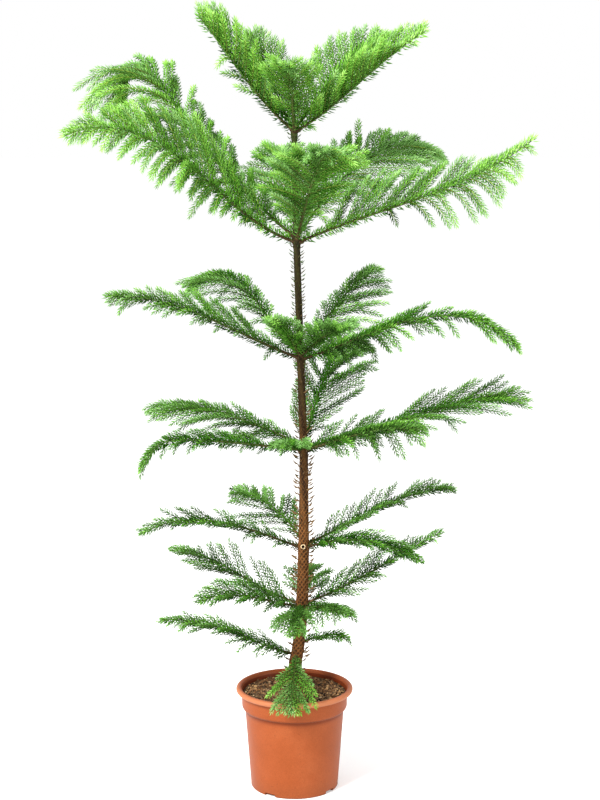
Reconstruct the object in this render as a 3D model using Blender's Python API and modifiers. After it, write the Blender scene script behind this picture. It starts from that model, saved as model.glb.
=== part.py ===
"""A Norfolk Island pine about 1.4 m tall in a 21 cm plastic nursery pot.

The origin is the centre of the pot's flat underside, +Z runs up the trunk, and -Y is the front.
The plant is put together from the ground up: pot, soil, trunk, then each whorl of boughs. A bough
is a bare limb, and the mass of foliage that it carries from the limb's end to the bough's tip.
"""

import math
import random

import bpy
from mathutils import Matrix, Vector

GAP = 0.0003  # clear space between two neighbouring pieces

for leftover in list(bpy.data.objects):
    bpy.data.objects.remove(leftover, do_unlink=True)

plant = bpy.data.collections.new("norfolk_island_pine")
cutters = bpy.data.collections.new("cutters")
for collection in (plant, cutters):
    bpy.context.scene.collection.children.link(collection)


def material(name, colour, roughness):
    made = bpy.data.materials.new(name)
    made.use_nodes = True
    shader = made.node_tree.nodes["Principled BSDF"]
    shader.inputs["Base Color"].default_value = (*colour, 1.0)
    shader.inputs["Roughness"].default_value = roughness
    shader.inputs["Metallic"].default_value = 0.0
    return made


def new_object(name, vertices, edges, faces, home, coat=None):
    mesh = bpy.data.meshes.new(name)
    mesh.from_pydata([tuple(v) for v in vertices], edges, faces)
    mesh.update()
    made = bpy.data.objects.new(name, mesh)
    home.objects.link(made)
    if coat:
        mesh.materials.append(coat)
    return made


def loft(rings, tip=None):
    """Vertices and faces of a closed skin over rings of equal count, ending in a cap or in a point."""
    count = len(rings[0])
    vertices = [v for ring in rings for v in ring]
    faces = [tuple(reversed(range(count)))]
    for row in range(len(rings) - 1):
        low = row * count
        for k in range(count):
            after = (k + 1) % count
            faces.append((low + k, low + after, low + count + after, low + count + k))
    last = (len(rings) - 1) * count
    if tip is None:
        faces.append(tuple(last + k for k in range(count)))
    else:
        vertices.append(tip)
        faces += [(last + k, last + (k + 1) % count, len(vertices) - 1) for k in range(count)]
    return vertices, faces


# ------------------------------------------------------------------ pot
# An injection-moulded nursery pot: a thin tapered wall, a flared collar below a rolled rim, and a
# flat base with four drain notches through its bottom edge.
POT_HEIGHT = 0.1840
POT_WALL = 0.0024
BASE_RADIUS = 0.0782
BODY_TOP_RADIUS = 0.0886
COLLAR_HEIGHT = 0.1435
COLLAR_CURVE = 0.0085
COLLAR_LOW_RADIUS = 0.0944
COLLAR_TOP_RADIUS = 0.0952
RIM_RADIUS = 0.1046
ROLL_RADIUS = 0.0050
FLOOR_THICKNESS = 0.0040
POT_STEPS = 32
NOTCH_ANGLES = (56, 146, 236, 324)
NOTCH_WIDTH = 0.022
NOTCH_HEIGHT = 0.0054

roll_centre = RIM_RADIUS - ROLL_RADIUS
roll_height = POT_HEIGHT - ROLL_RADIUS
inner_wall = [
    (BASE_RADIUS - POT_WALL - 0.002, FLOOR_THICKNESS),
    (BASE_RADIUS - POT_WALL, FLOOR_THICKNESS + 0.002),
    (BODY_TOP_RADIUS - POT_WALL, COLLAR_HEIGHT + 0.0015),
    (COLLAR_LOW_RADIUS - POT_WALL, COLLAR_HEIGHT + COLLAR_CURVE),
    (COLLAR_TOP_RADIUS - POT_WALL, roll_height - 0.004),
]
roll = []
for turn in (165, 125, 85, 45, 5, -40, -85):
    angle = math.radians(turn)
    roll.append((roll_centre + ROLL_RADIUS * math.cos(angle), roll_height + ROLL_RADIUS * math.sin(angle)))
outer_wall = [
    (COLLAR_TOP_RADIUS, roll_height - 0.0050),
    (COLLAR_LOW_RADIUS, COLLAR_HEIGHT + COLLAR_CURVE),
    (COLLAR_LOW_RADIUS - 0.0012, COLLAR_HEIGHT + 0.4 * COLLAR_CURVE),
    (BODY_TOP_RADIUS, COLLAR_HEIGHT),
    (BASE_RADIUS, 0.0016),
    (BASE_RADIUS - 0.0016, 0.0),
]
profile = [(0.0, FLOOR_THICKNESS)] + inner_wall + roll + outer_wall + [(0.0, 0.0)]
terracotta = material("terracotta_plastic", (0.60, 0.17, 0.075), 0.45)
pot = new_object(
    "pot",
    [(r, 0.0, z) for r, z in profile],
    [(k, k + 1) for k in range(len(profile) - 1)],
    [],
    plant,
    terracotta,
)
turned = pot.modifiers.new("turned", "SCREW")
turned.steps = turned.render_steps = POT_STEPS
turned.use_merge_vertices = True
turned.merge_threshold = 0.00005
turned.use_smooth_shade = False
for turn in NOTCH_ANGLES:
    bpy.ops.mesh.primitive_cube_add(size=1.0)
    notch = bpy.context.object
    notch.name = f"notch_{turn}"
    angle = math.radians(turn)
    notch.matrix_world = (
        Matrix.Rotation(angle, 4, "Z")
        @ Matrix.Translation((BASE_RADIUS, 0.0, 0.0))
        @ Matrix.Diagonal((0.016, NOTCH_WIDTH, 2.0 * NOTCH_HEIGHT, 1.0))
    )
    for home in list(notch.users_collection):
        home.objects.unlink(notch)
    cutters.objects.link(notch)
    notch.hide_render = True
    notch.display_type = "WIRE"
    cut = pot.modifiers.new(notch.name, "BOOLEAN")
    cut.operation = "DIFFERENCE"
    cut.solver = "EXACT"
    cut.object = notch

# ------------------------------------------------------------------ soil
# Bark and coir compost that fills the pot to about 8 mm below the rim. Its top is uneven and
# rises a little towards the trunk, with a level patch where the trunk stands on it.
SOIL_EDGE_HEIGHT = 0.1725
SOIL_TOP_HEIGHT = 0.1765
SOIL_STEPS = 22
SOIL_CLEARANCE = 0.0009

rng = random.Random(7)
soil_profile = [
    (0.020, SOIL_TOP_HEIGHT, 0.0),
    (0.044, SOIL_TOP_HEIGHT - 0.0005, 0.0016),
    (0.068, SOIL_TOP_HEIGHT - 0.0018, 0.0018),
    (COLLAR_TOP_RADIUS - POT_WALL - SOIL_CLEARANCE - 0.0004, SOIL_EDGE_HEIGHT, 0.0),
    (COLLAR_LOW_RADIUS - POT_WALL - SOIL_CLEARANCE, COLLAR_HEIGHT + COLLAR_CURVE, 0.0),
    (BODY_TOP_RADIUS - POT_WALL - SOIL_CLEARANCE, COLLAR_HEIGHT + 0.0010, 0.0),
    (BASE_RADIUS - POT_WALL - SOIL_CLEARANCE, FLOOR_THICKNESS + 0.0022, 0.0),
    (BASE_RADIUS - POT_WALL - 0.002 - SOIL_CLEARANCE, FLOOR_THICKNESS + GAP, 0.0),
]
rings = []
for radius, height, lumps in reversed(soil_profile):
    ring = []
    for k in range(SOIL_STEPS):
        angle = 2.0 * math.pi * k / SOIL_STEPS
        z = height + rng.uniform(-lumps, lumps)
        ring.append(Vector((radius * math.cos(angle), radius * math.sin(angle), z)))
    rings.append(ring)
compost = material("bark_compost", (0.075, 0.045, 0.028), 0.95)
vertices, faces = loft(rings)
new_object("soil", vertices, [], faces, plant, compost)

# ------------------------------------------------------------------ trunk
# One straight leader, a little bent low down, tapering from a flared foot on the soil to the bud
# among the top whorl. It swells at each whorl, and has the stub of one bough that was cut off.
TRUNK_STEPS = 9
TRUNK = [
    # height, shift along X, shift along Y, radius
    (SOIL_TOP_HEIGHT + GAP, 0.0000, 0.000, 0.0150),
    (0.1860, 0.0000, 0.000, 0.0128),
    (0.2020, 0.0002, 0.000, 0.0116),
    (0.2320, 0.0022, 0.000, 0.0118),
    (0.2480, 0.0058, 0.000, 0.0110),
    (0.3000, 0.0118, 0.000, 0.0104),
    (0.3330, 0.0136, 0.000, 0.0114),
    (0.3600, 0.0144, 0.000, 0.0100),
    (0.4240, 0.0160, 0.000, 0.0096),
    (0.4390, 0.0164, 0.000, 0.0106),
    (0.4560, 0.0166, 0.000, 0.0094),
    (0.6020, 0.0166, 0.000, 0.0084),
    (0.6170, 0.0162, 0.000, 0.0096),
    (0.6340, 0.0158, 0.000, 0.0080),
    (0.7640, 0.0114, 0.000, 0.0072),
    (0.7780, 0.0108, 0.000, 0.0088),
    (0.7950, 0.0102, 0.000, 0.0069),
    (0.9660, 0.0044, 0.000, 0.0060),
    (0.9800, 0.0040, 0.000, 0.0078),
    (0.9960, 0.0036, 0.000, 0.0056),
    (1.1480, 0.0004, 0.000, 0.0047),
    (1.1640, 0.0000, 0.000, 0.0066),
    (1.1820, 0.0000, 0.000, 0.0036),
    (1.1960, 0.0000, 0.000, 0.0024),
]
TRUNK_TOP = 1.2020
STUB_HEIGHT = 0.4390
STUB_TURN = 266.0
STUB_RADIUS = 0.0042
STUB_LENGTH = 0.0160


def trunk_at(height):
    """The trunk's centre and radius at a height."""
    for low, high in zip(TRUNK, TRUNK[1:]):
        if height <= high[0]:
            part = (height - low[0]) / (high[0] - low[0])
            x, y, radius = (a + (b - a) * part for a, b in zip(low[1:], high[1:]))
            return Vector((x, y, height)), radius
    return Vector((TRUNK[-1][1], TRUNK[-1][2], height)), TRUNK[-1][3]


def ring_about(centre, along, radius, count, turn=0.0):
    """Points round a centre, square to the direction along."""
    side = along.cross(Vector((0.0, 0.0, 1.0)))
    side = side.normalized() if side.length > 0.05 else Vector((1.0, 0.0, 0.0))
    over = along.cross(side).normalized()
    ring = []
    for k in range(count):
        angle = 2.0 * math.pi * k / count + turn
        ring.append(centre + side * (radius * math.cos(angle)) + over * (radius * math.sin(angle)))
    return ring


rings = []
for height, x, y, radius in TRUNK:
    ring = []
    for k in range(TRUNK_STEPS):
        angle = 2.0 * math.pi * k / TRUNK_STEPS
        reach = radius * (1.0 + 0.16 * math.cos(3.0 * angle + 1.0) * (height < 0.18))
        ring.append(Vector((x + reach * math.cos(angle), y + reach * math.sin(angle), height)))
    rings.append(ring)
bark = material("bark", (0.115, 0.072, 0.040), 0.85)
vertices, faces = loft(rings, Vector((0.0, 0.0, TRUNK_TOP)))
trunk = new_object("trunk", vertices, [], faces, plant, bark)
outward = Vector((math.cos(math.radians(STUB_TURN)), math.sin(math.radians(STUB_TURN)), 0.25)).normalized()
foot = trunk_at(STUB_HEIGHT)[0]
rings = [
    ring_about(foot, outward, STUB_RADIUS * 1.1, 8),
    ring_about(foot + outward * (STUB_LENGTH - 0.002), outward, STUB_RADIUS, 8),
    ring_about(foot + outward * STUB_LENGTH, outward, STUB_RADIUS * 0.8, 8),
]
vertices, faces = loft(rings)
stub = new_object("stub", vertices, [], faces, cutters)
stub.hide_render = True
stub.display_type = "WIRE"
joined = trunk.modifiers.new("stub", "BOOLEAN")
joined.operation = "UNION"
joined.solver = "EXACT"
joined.object = stub

# ------------------------------------------------------------------ boughs
# Each bough leaves the trunk at its whorl and is one flat frond: a rib that curves as its three
# slopes say, with side sprays in two ranks that grow outwards and forwards, then hang or rise.
# Angles are in degrees. An azimuth of 0 is +X and 90 is +Y, away from the front. Slopes are the
# rib's at its root, middle and tip. limb is the length of bare wood, and 0 leaves the foliage to
# start at the trunk. sprays is their count and reach their full length. lift raises them out of
# the frond, sag bends them down along their length and roll turns the frond about its rib.
BOUGHS = {
    # name: height, azimuth, length, slopes, limb, sprays, reach, lift, sag, roll
    "a_left": (1.167, 194, 0.285, (37, 53, 36), 0.032, 17, 0.100, 32, -15, 5),
    "a_left_back": (1.170, 130, 0.215, (46, 58, 64), 0.000, 12, 0.080, 14, -5, 20),
    "a_right": (1.165, 345, 0.295, (27, 42, 17), 0.034, 17, 0.095, 32, -15, -5),
    "a_right_back": (1.168, 48, 0.305, (44, 40, 16), 0.000, 15, 0.100, 16, 0, -15),
    "a_front": (1.163, 266, 0.185, (36, 34, 8), 0.000, 11, 0.070, 12, 20, 0),
    "b_left": (0.978, 202, 0.460, (14, 38, -12), 0.080, 17, 0.130, 14, 15, 42),
    "b_left_back": (0.984, 153, 0.500, (33, 48, 0), 0.080, 18, 0.120, 6, 10, 15),
    "b_right": (0.976, 347, 0.455, (18, 25, 17), 0.080, 17, 0.115, 6, 30, -40),
    "b_right_back": (0.985, 38, 0.420, (54, 29, -30), 0.070, 16, 0.130, 4, 25, -25),
    "b_front": (0.980, 284, 0.270, (42, 42, 24), 0.060, 13, 0.125, 10, 35, 0),
    "b_back": (0.982, 96, 0.330, (34, 26, -6), 0.000, 11, 0.115, 5, 25, 0),
    "c_left": (0.776, 194, 0.370, (13, 26, -18), 0.070, 13, 0.090, 8, 15, 20),
    "c_left_back": (0.782, 146, 0.320, (22, 40, -48), 0.060, 13, 0.085, 4, 20, 12),
    "c_right": (0.775, 346, 0.412, (17, 12, -41), 0.070, 14, 0.085, 5, 30, -12),
    "c_right_back": (0.783, 50, 0.280, (37, 33, 22), 0.050, 11, 0.080, 4, 20, -12),
    "c_right_front": (0.778, 300, 0.200, (30, 24, 0), 0.000, 9, 0.075, 10, 20, 0),
    "c_front": (0.780, 250, 0.160, (36, 30, 14), 0.000, 8, 0.060, 10, 15, 0),
    "d_left": (0.614, 204, 0.336, (4, 6, -60), 0.060, 12, 0.070, 12, 15, 20),
    "d_left_back": (0.620, 159, 0.312, (22, 14, -13), 0.060, 12, 0.080, 4, 15, 15),
    "d_right": (0.617, 8, 0.418, (14, 17, -4), 0.060, 14, 0.095, 8, 10, -20),
    "d_back": (0.622, 74, 0.350, (37, 24, 4), 0.060, 11, 0.100, 5, 15, -10),
    "d_right_front": (0.612, 324, 0.270, (20, 15, -2), 0.000, 10, 0.080, 5, 40, -10),
    "d_front": (0.617, 250, 0.115, (20, 14, 0), 0.000, 6, 0.050, 5, 20, 0),
    "e_left": (0.436, 187, 0.306, (23, 8, -18), 0.050, 12, 0.065, 8, 10, 15),
    "e_back": (0.443, 125, 0.262, (46, 10, 12), 0.000, 9, 0.080, 2, 15, 15),
    "e_right": (0.442, 17, 0.300, (27, 21, -8), 0.050, 12, 0.052, 25, -15, -10),
    "e_right_front": (0.436, 331, 0.245, (25, 1, -28), 0.050, 10, 0.060, 10, 20, -10),
    "f_left": (0.335, 161, 0.262, (8, 29, 4), 0.040, 10, 0.075, 12, -10, 20),
    "f_left_front": (0.330, 211, 0.224, (14, 19, -13), 0.000, 9, 0.075, 12, 15, 20),
    "f_right": (0.334, 13, 0.292, (15, 27, 24), 0.040, 11, 0.070, 8, 10, -10),
    "f_right_front": (0.330, 306, 0.165, (8, 2, -8), 0.000, 7, 0.065, 5, 25, 0),
    "f_front": (0.327, 264, 0.160, (8, 2, -22), 0.000, 8, 0.065, 5, 30, 0),
    "f_back": (0.338, 84, 0.215, (24, 14, 4), 0.000, 8, 0.085, 10, 15, 0),
    "g_left": (0.241, 190, 0.262, (16, 23, -8), 0.000, 9, 0.060, 15, 0, 0),
    "g_right": (0.262, 356, 0.092, (20, 6, -30), 0.000, 0, 0.000, 0, 0, 0),
    "g_front": (0.244, 268, 0.158, (-12, -26, -56), 0.000, 8, 0.060, 6, 5, 0),
}
BUTT_RADIUS = {"a": 0.0034, "b": 0.0040, "c": 0.0036, "d": 0.0034, "e": 0.0030, "f": 0.0027, "g": 0.0022}
RIB_TAPER = 0.66  # share of a rib's radius that is lost by its tip
SPRAY_HALF_WIDTH = {"a": 0.0098, "b": 0.0094, "c": 0.0092, "d": 0.0090, "e": 0.0085, "f": 0.0085, "g": 0.0080}
SPRAY_THICKNESS = 0.0052
SPREAD_AT_ROOT = 64.0
SPREAD_AT_TIP = 34.0
KEEP_CLEAR = 0.0006
DOWN = Vector((0.0, 0.0, -1.0))


def rib_of(height, azimuth, length, slopes, count=25):
    """The centre line of a bough's rib, as points and directions from the trunk's axis to the tip."""
    turn = math.radians(azimuth)
    points, ways = [trunk_at(height)[0]], []
    for k in range(count):
        s = k / (count - 1)
        shares = ((1 - s) * (1 - 2 * s), 4 * s * (1 - s), s * (2 * s - 1))
        slope = math.radians(sum(a * b for a, b in zip(slopes, shares)))
        way = Vector((math.cos(slope) * math.cos(turn), math.cos(slope) * math.sin(turn), math.sin(slope)))
        if ways:
            points.append(points[-1] + (way + ways[-1]).normalized() * (length / (count - 1)))
        ways.append(way)
    return points, ways


def along(points, ways, s):
    """The point and direction at share s of a centre line."""
    place = min(max(s, 0.0), 1.0) * (len(points) - 1)
    k = min(int(place), len(points) - 2)
    return points[k].lerp(points[k + 1], place - k), ways[k].lerp(ways[k + 1], place - k).normalized()


def spray_line(root, way, side, over, reach, spread, lift, sag, count=5):
    """The centre line of one side spray, which bends forwards and towards the ground or the sky."""
    out = way * math.cos(spread) + side * math.sin(spread)
    out = (out * math.cos(lift) + over * math.sin(lift)).normalized()
    points, ways = [root], []
    for k in range(count):
        bend = out + way * (0.45 * k / (count - 1)) + DOWN * (math.tan(sag) * k / (count - 1))
        ways.append(bend.normalized())
        if k:
            points.append(points[-1] + (ways[-1] + ways[-2]).normalized() * (reach / (count - 1)))
    return points, ways


def blade(points, ways, flat, half_width, teeth):
    """A toothed blade along a centre line: a slim core with needles standing out left and right by turns."""
    rings = []
    for k in range(teeth + 1):
        s = 0.94 * k / (teeth + 0.6) if k else 0.0
        centre, way = along(points, ways, s)
        side = (flat - way * flat.dot(way)).normalized()
        over = side.cross(way)
        swell = 1.0 - 0.45 * max(0.0, s - 0.45)
        widths = [half_width * swell * (1.0 if k % 2 == turn else 0.42) for turn in (0, 1)] if k else [0.0011] * 2
        depth = SPRAY_THICKNESS * ((0.8 if k % 2 else 1.0) * swell if k else 0.3)
        rings.append([])
        for width, hand in zip(widths, (1.0, -1.0)):
            forward = way * max(0.0, width - 0.42 * half_width) * 0.5
            rings[-1].append(centre + side * (width * hand) + forward - over * depth * 0.45)
        rings[-1].append(centre + over * depth)
    return loft(rings, points[-1])


def own_sector(name):
    """Half the angle to the next bough of the whorl, on the right-hand and the left-hand side."""
    azimuth = BOUGHS[name][1]
    turns = [(row[1] - azimuth) % 360.0 for other, row in BOUGHS.items() if other[0] == name[0] and other != name]
    return 0.5 * (360.0 - max(turns)), 0.5 * min(turns)


occupied = []  # name, centre and radius of every length of rib and spray placed so far


def is_free(name, points, radius):
    for mine in points:
        for owner, place, reach in occupied:
            if owner != name and (mine - place).length < radius + reach + KEEP_CLEAR:
                return False
    return True


def occupy(name, points, radius):
    for a, b in zip(points, points[1:]):
        steps = max(1, int((b - a).length / 0.008))
        for k in range(steps):
            occupied.append((name, a.lerp(b, k / steps), radius))
    occupied.append((name, points[-1], radius))


# The rim of the pot, the soil and the trunk take their space first.
for k in range(72):
    angle = 2.0 * math.pi * k / 72
    round_pot = Vector((math.cos(angle), math.sin(angle), 0.0))
    occupied.append(("pot", round_pot * roll_centre + Vector((0.0, 0.0, roll_height)), 0.008))
    occupied.append(("pot", round_pot * COLLAR_LOW_RADIUS + Vector((0.0, 0.0, 0.162)), 0.010))

starts = {}
for name, (height, azimuth, length, slopes, limb, sprays, reach, lift, sag, roll_angle) in BOUGHS.items():
    points, ways = rib_of(height, azimuth, length, slopes)
    butt = BUTT_RADIUS[name[0]]
    slope = math.radians(slopes[0])
    girth = max(trunk_at(height + step)[1] for step in (-0.006, 0.0, 0.006, 0.012))
    start = (girth + butt * abs(math.sin(slope)) + 2.0 * GAP) / math.cos(slope) / length
    starts[name] = (points, ways, butt, start)
    occupy(name, [along(points, ways, s / 12)[0] for s in range(1, 13)], 0.0035)

limb_bark = material("young_bark", (0.135, 0.105, 0.045), 0.8)
shades = {
    "a": material("needles_fresh", (0.125, 0.330, 0.055), 0.6),
    "b": material("needles_upper", (0.130, 0.310, 0.080), 0.6),
    "c": material("needles_middle", (0.105, 0.260, 0.070), 0.6),
}
for whorl, like in (("d", "c"), ("e", "c"), ("f", "c"), ("g", "c")):
    shades[whorl] = shades[like]

for name, (height, azimuth, length, slopes, limb, sprays, reach, lift, sag, roll_angle) in BOUGHS.items():
    points, ways, butt, start = starts[name]
    rng = random.Random(name)
    whorl = name[0]
    if limb:
        rings = []
        finish = limb / length
        for k in range(4):
            s = start + (finish - start) * k / 3
            centre, way = along(points, ways, s)
            rings.append(ring_about(centre, way, butt * (1.0 - RIB_TAPER * s), 6))
        vertices, faces = loft(rings)
        new_object(f"limb_{name}", vertices, [], faces, plant, limb_bark)
        start = finish + 1.4 * GAP / length

    # The mass's stem: a slim rib, three-sided, that ends in a spray of its own.
    parts = bpy.data.collections.new(f"sprays_{name}")
    bpy.context.scene.collection.children.link(parts)
    rings = []
    stem_rows = 5
    for k in range(stem_rows):
        s = start + (0.88 - start) * k / (stem_rows - 1)
        centre, way = along(points, ways, s)
        rings.append(ring_about(centre, way, butt * (1.0 - RIB_TAPER * s) * 1.15, 3, math.radians(-90.0)))
    vertices, faces = loft(rings)
    mass = new_object(f"foliage_{name}", vertices, [], faces, plant, shades[whorl])

    turn = math.radians(roll_angle)
    right_room, left_room = own_sector(name)
    half_width = SPRAY_HALF_WIDTH[whorl]
    made = 0
    for k in range(sprays + 1):
        u = (k + 0.5) / (sprays + 0.5) if k < sprays else 1.0
        s = start + (0.80 - start) * u if k < sprays else 0.80
        root, way = along(points, ways, s)
        side = way.cross(-DOWN).normalized()
        over = side.cross(way).normalized()
        side, over = side * math.cos(turn) + over * math.sin(turn), over * math.cos(turn) - side * math.sin(turn)
        if k == sprays:
            ends = [along(points, ways, 0.72 + 0.28 * step / 4) for step in range(5)]
            line, headings = [e[0] for e in ends], [e[1] for e in ends]
            hand = 1.0
        else:
            hand = 1.0 if k % 2 else -1.0
            taper = math.sin(math.pi * (0.24 + 0.55 * u)) ** 0.8
            full = reach * taper * rng.uniform(0.88, 1.0)
            spread = math.radians(SPREAD_AT_ROOT + (SPREAD_AT_TIP - SPREAD_AT_ROOT) * u + rng.uniform(-5, 5))
            up = math.radians(lift + rng.uniform(-6, 6))
            down = math.radians(max(-60.0, min(60.0, sag + rng.uniform(-8, 8))))
            for share in (1.0, 0.8, 0.6, 0.42):
                line, headings = spray_line(root, way, side * hand, over, full * share, spread, up, down)
                end = line[-1] - trunk_at(height)[0]
                off = (math.degrees(math.atan2(end.y, end.x)) - azimuth + 180.0) % 360.0 - 180.0
                inside = -right_room < off < left_room
                if inside and is_free(name, line[1:], half_width * 0.62):
                    break
            else:
                continue
        occupy(name, line[1:], half_width * 0.62)
        plane = over.lerp(-DOWN, 0.3).normalized()
        across = headings[1].cross(plane).normalized() if k < sprays else side
        teeth = 3 if (line[-1] - line[0]).length > 0.074 else 2
        vertices, faces = blade(line, headings, across, half_width, teeth)
        new_object(f"spray_{name}_{made}", vertices, [], faces, parts)
        made += 1
    if made:
        joined = mass.modifiers.new("sprays", "BOOLEAN")
        joined.operation = "UNION"
        joined.solver = "EXACT"
        joined.operand_type = "COLLECTION"
        joined.collection = parts
        with bpy.context.temp_override(object=mass, active_object=mass):
            bpy.ops.object.modifier_apply(modifier=joined.name)
    for spray in list(parts.objects):
        bpy.data.objects.remove(spray, do_unlink=True)
    bpy.data.collections.remove(parts)
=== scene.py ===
import math
from collections import namedtuple

import bmesh
import bpy
import numpy as np
from mathutils.kdtree import KDTree
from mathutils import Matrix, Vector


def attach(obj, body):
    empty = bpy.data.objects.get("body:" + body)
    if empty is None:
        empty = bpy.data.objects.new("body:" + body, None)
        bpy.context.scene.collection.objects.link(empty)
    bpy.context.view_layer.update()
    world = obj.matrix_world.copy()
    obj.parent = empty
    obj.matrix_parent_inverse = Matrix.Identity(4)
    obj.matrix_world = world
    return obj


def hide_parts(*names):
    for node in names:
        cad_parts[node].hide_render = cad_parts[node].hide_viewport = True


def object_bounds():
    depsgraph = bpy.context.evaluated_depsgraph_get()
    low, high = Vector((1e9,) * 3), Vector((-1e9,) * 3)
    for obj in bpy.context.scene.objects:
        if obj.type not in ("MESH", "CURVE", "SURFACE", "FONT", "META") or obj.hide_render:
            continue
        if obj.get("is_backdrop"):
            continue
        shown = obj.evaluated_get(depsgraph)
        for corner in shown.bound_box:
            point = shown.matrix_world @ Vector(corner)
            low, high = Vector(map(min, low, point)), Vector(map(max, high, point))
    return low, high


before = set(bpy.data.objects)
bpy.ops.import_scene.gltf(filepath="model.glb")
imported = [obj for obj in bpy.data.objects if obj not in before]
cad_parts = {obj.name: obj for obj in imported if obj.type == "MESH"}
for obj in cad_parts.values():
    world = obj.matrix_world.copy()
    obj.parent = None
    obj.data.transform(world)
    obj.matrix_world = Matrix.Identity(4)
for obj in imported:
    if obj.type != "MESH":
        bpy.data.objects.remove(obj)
cad_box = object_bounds()

# ---------------------------------------------------------------- nursery pot
# A round grower's pot of terracotta-coloured polypropylene, injection moulded: thin tapered wall,
# a straight collar that rounds in to the body, a rolled rim, and four drain notches in its foot.
POT_HEIGHT = 0.1840
POT_WALL = 0.0024
POT_STEPS = 192
FOOT_RADIUS = 0.0782
BODY_TOP_RADIUS = 0.0886
COLLAR_HEIGHT = 0.1435
COLLAR_CURVE = 0.0085
COLLAR_LOW_RADIUS = 0.0944
COLLAR_TOP_RADIUS = 0.0952
COLLAR_STRAIGHT = 0.0164
RIM_RADIUS = 0.1046
ROLL_RADIUS = 0.0050
ROLL_DROP = 0.0047
FLOOR_THICKNESS = 0.0040
FLOOR_FILLET = 0.0030
FLOOR_LIFT = 0.0012
NOTCH_TURNS = (56, 146, 236, 324)
NOTCH_DEPTH = 0.016
NOTCH_WIDTH = 0.022
NOTCH_HEIGHT = 0.0054
NOTCH_ROUNDING = 0.0016
SHARP_ANGLE = math.radians(40)
INNER_SHADE_HEIGHT = 0.166


def piece_of(name, points, corners, finishes, deal=None, smooth=True):
    """A mesh piece from arrays of points and of equal-sided faces; deal gives each face its finish."""
    points = np.ascontiguousarray(points, np.float32).reshape(-1, 3)
    corners = np.ascontiguousarray(corners, np.int32)
    mesh = bpy.data.meshes.new(name)
    mesh.vertices.add(len(points))
    mesh.vertices.foreach_set("co", points.ravel())
    mesh.loops.add(corners.size)
    mesh.loops.foreach_set("vertex_index", corners.ravel())
    mesh.polygons.add(len(corners))
    mesh.polygons.foreach_set("loop_start", np.arange(0, corners.size, corners.shape[1], dtype=np.int32))
    for finish in finishes:
        mesh.materials.append(finish)
    if deal is not None:
        mesh.polygons.foreach_set("material_index", np.asarray(deal, np.int32))
    mesh.update(calc_edges=True)
    mesh.polygons.foreach_set("use_smooth", np.full(len(corners), smooth))
    piece = bpy.data.objects.new(name, mesh)
    bpy.context.scene.collection.objects.link(piece)
    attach(piece, "root")
    return piece


def new_finish(name, colour, roughness, specular=0.5):
    """A plain finish, with its node tree and shader for a section that adds a pattern."""
    finish = bpy.data.materials.new(name)
    finish.use_nodes = True
    tree = finish.node_tree
    shader = tree.nodes["Principled BSDF"]
    shader.inputs["Base Color"].default_value = (*colour, 1.0)
    shader.inputs["Roughness"].default_value = roughness
    shader.inputs["Specular IOR Level"].default_value = specular
    return finish, tree, shader


def feed(tree, socket, value):
    """Gives a node's input another node's output, or a plain value."""
    if isinstance(value, bpy.types.NodeSocket):
        tree.links.new(value, socket)
    else:
        socket.default_value = value


def node(tree, kind, *values, **settings):
    """A shader node: values go to its inputs in order, and settings go by name."""
    made = tree.nodes.new(kind)
    for socket, value in zip(made.inputs, values):
        feed(tree, socket, value)
    for key, value in settings.items():
        if hasattr(made, key):
            setattr(made, key, value)
        else:
            feed(tree, made.inputs[key], value)
    return made


def noise(tree, place, scale, detail, roughness):
    """A cloudy pattern fixed to the piece."""
    made = node(tree, "ShaderNodeTexNoise", Vector=place, Scale=scale, Detail=detail, Roughness=roughness)
    return made.outputs["Fac"]


def ramp(tree, source, *stops):
    """The colour that a value picks from stops of (place, colour)."""
    made = tree.nodes.new("ShaderNodeValToRGB")
    elements = made.color_ramp.elements
    while len(elements) < len(stops):
        elements.new(0.5)
    for element, (place, colour) in zip(elements, stops):
        element.position = place
        element.color = (*colour, 1.0)
    tree.links.new(source, made.inputs["Fac"])
    return made.outputs["Color"]


def layered(tree, blend, share, under, over):
    """One colour laid over another by a share; each is a plain value or another node's output."""
    mix = node(tree, "ShaderNodeMix", share, data_type="RGBA", blend_type=blend)
    feed(tree, mix.inputs[6], under)
    feed(tree, mix.inputs[7], over)
    return mix.outputs[2]


def bumped(tree, shader, height, strength, distance):
    """Fine relief that follows a pattern."""
    relief = node(tree, "ShaderNodeBump", Strength=strength, Distance=distance, Height=height)
    tree.links.new(relief.outputs["Normal"], shader.inputs["Normal"])


def arc(centre, radius, start, end, steps):
    turns = np.radians(np.linspace(start, end, steps))
    return [(centre[0] + radius * math.cos(t), centre[1] + radius * math.sin(t)) for t in turns]


def straight(start, end, steps):
    """The points of a straight stretch, without its start."""
    return [tuple(np.add(start, np.subtract(end, start) * k / steps)) for k in range(1, steps + 1)]


foot_bore = FOOT_RADIUS - POT_WALL
low_curve = COLLAR_HEIGHT + COLLAR_CURVE
round_in = COLLAR_LOW_RADIUS - BODY_TOP_RADIUS
roll_centre = (RIM_RADIUS - ROLL_RADIUS, POT_HEIGHT - ROLL_RADIUS)
collar_top = roll_centre[1] - ROLL_DROP
straight_top = collar_top - 0.0016
body_top = COLLAR_HEIGHT - 0.0018
# Up the inside, from the floor to the rim ...
outline = [(0.04, FLOOR_THICKNESS), (foot_bore - FLOOR_FILLET, FLOOR_THICKNESS)]
outline += arc((foot_bore - FLOOR_FILLET, FLOOR_THICKNESS + FLOOR_FILLET), FLOOR_FILLET, -60, 0, 4)
outline += straight((foot_bore, 0.008), (BODY_TOP_RADIUS - POT_WALL, COLLAR_HEIGHT), 6)
outline += [(COLLAR_LOW_RADIUS - POT_WALL, low_curve), (COLLAR_TOP_RADIUS - POT_WALL, collar_top + 0.001)]
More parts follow.
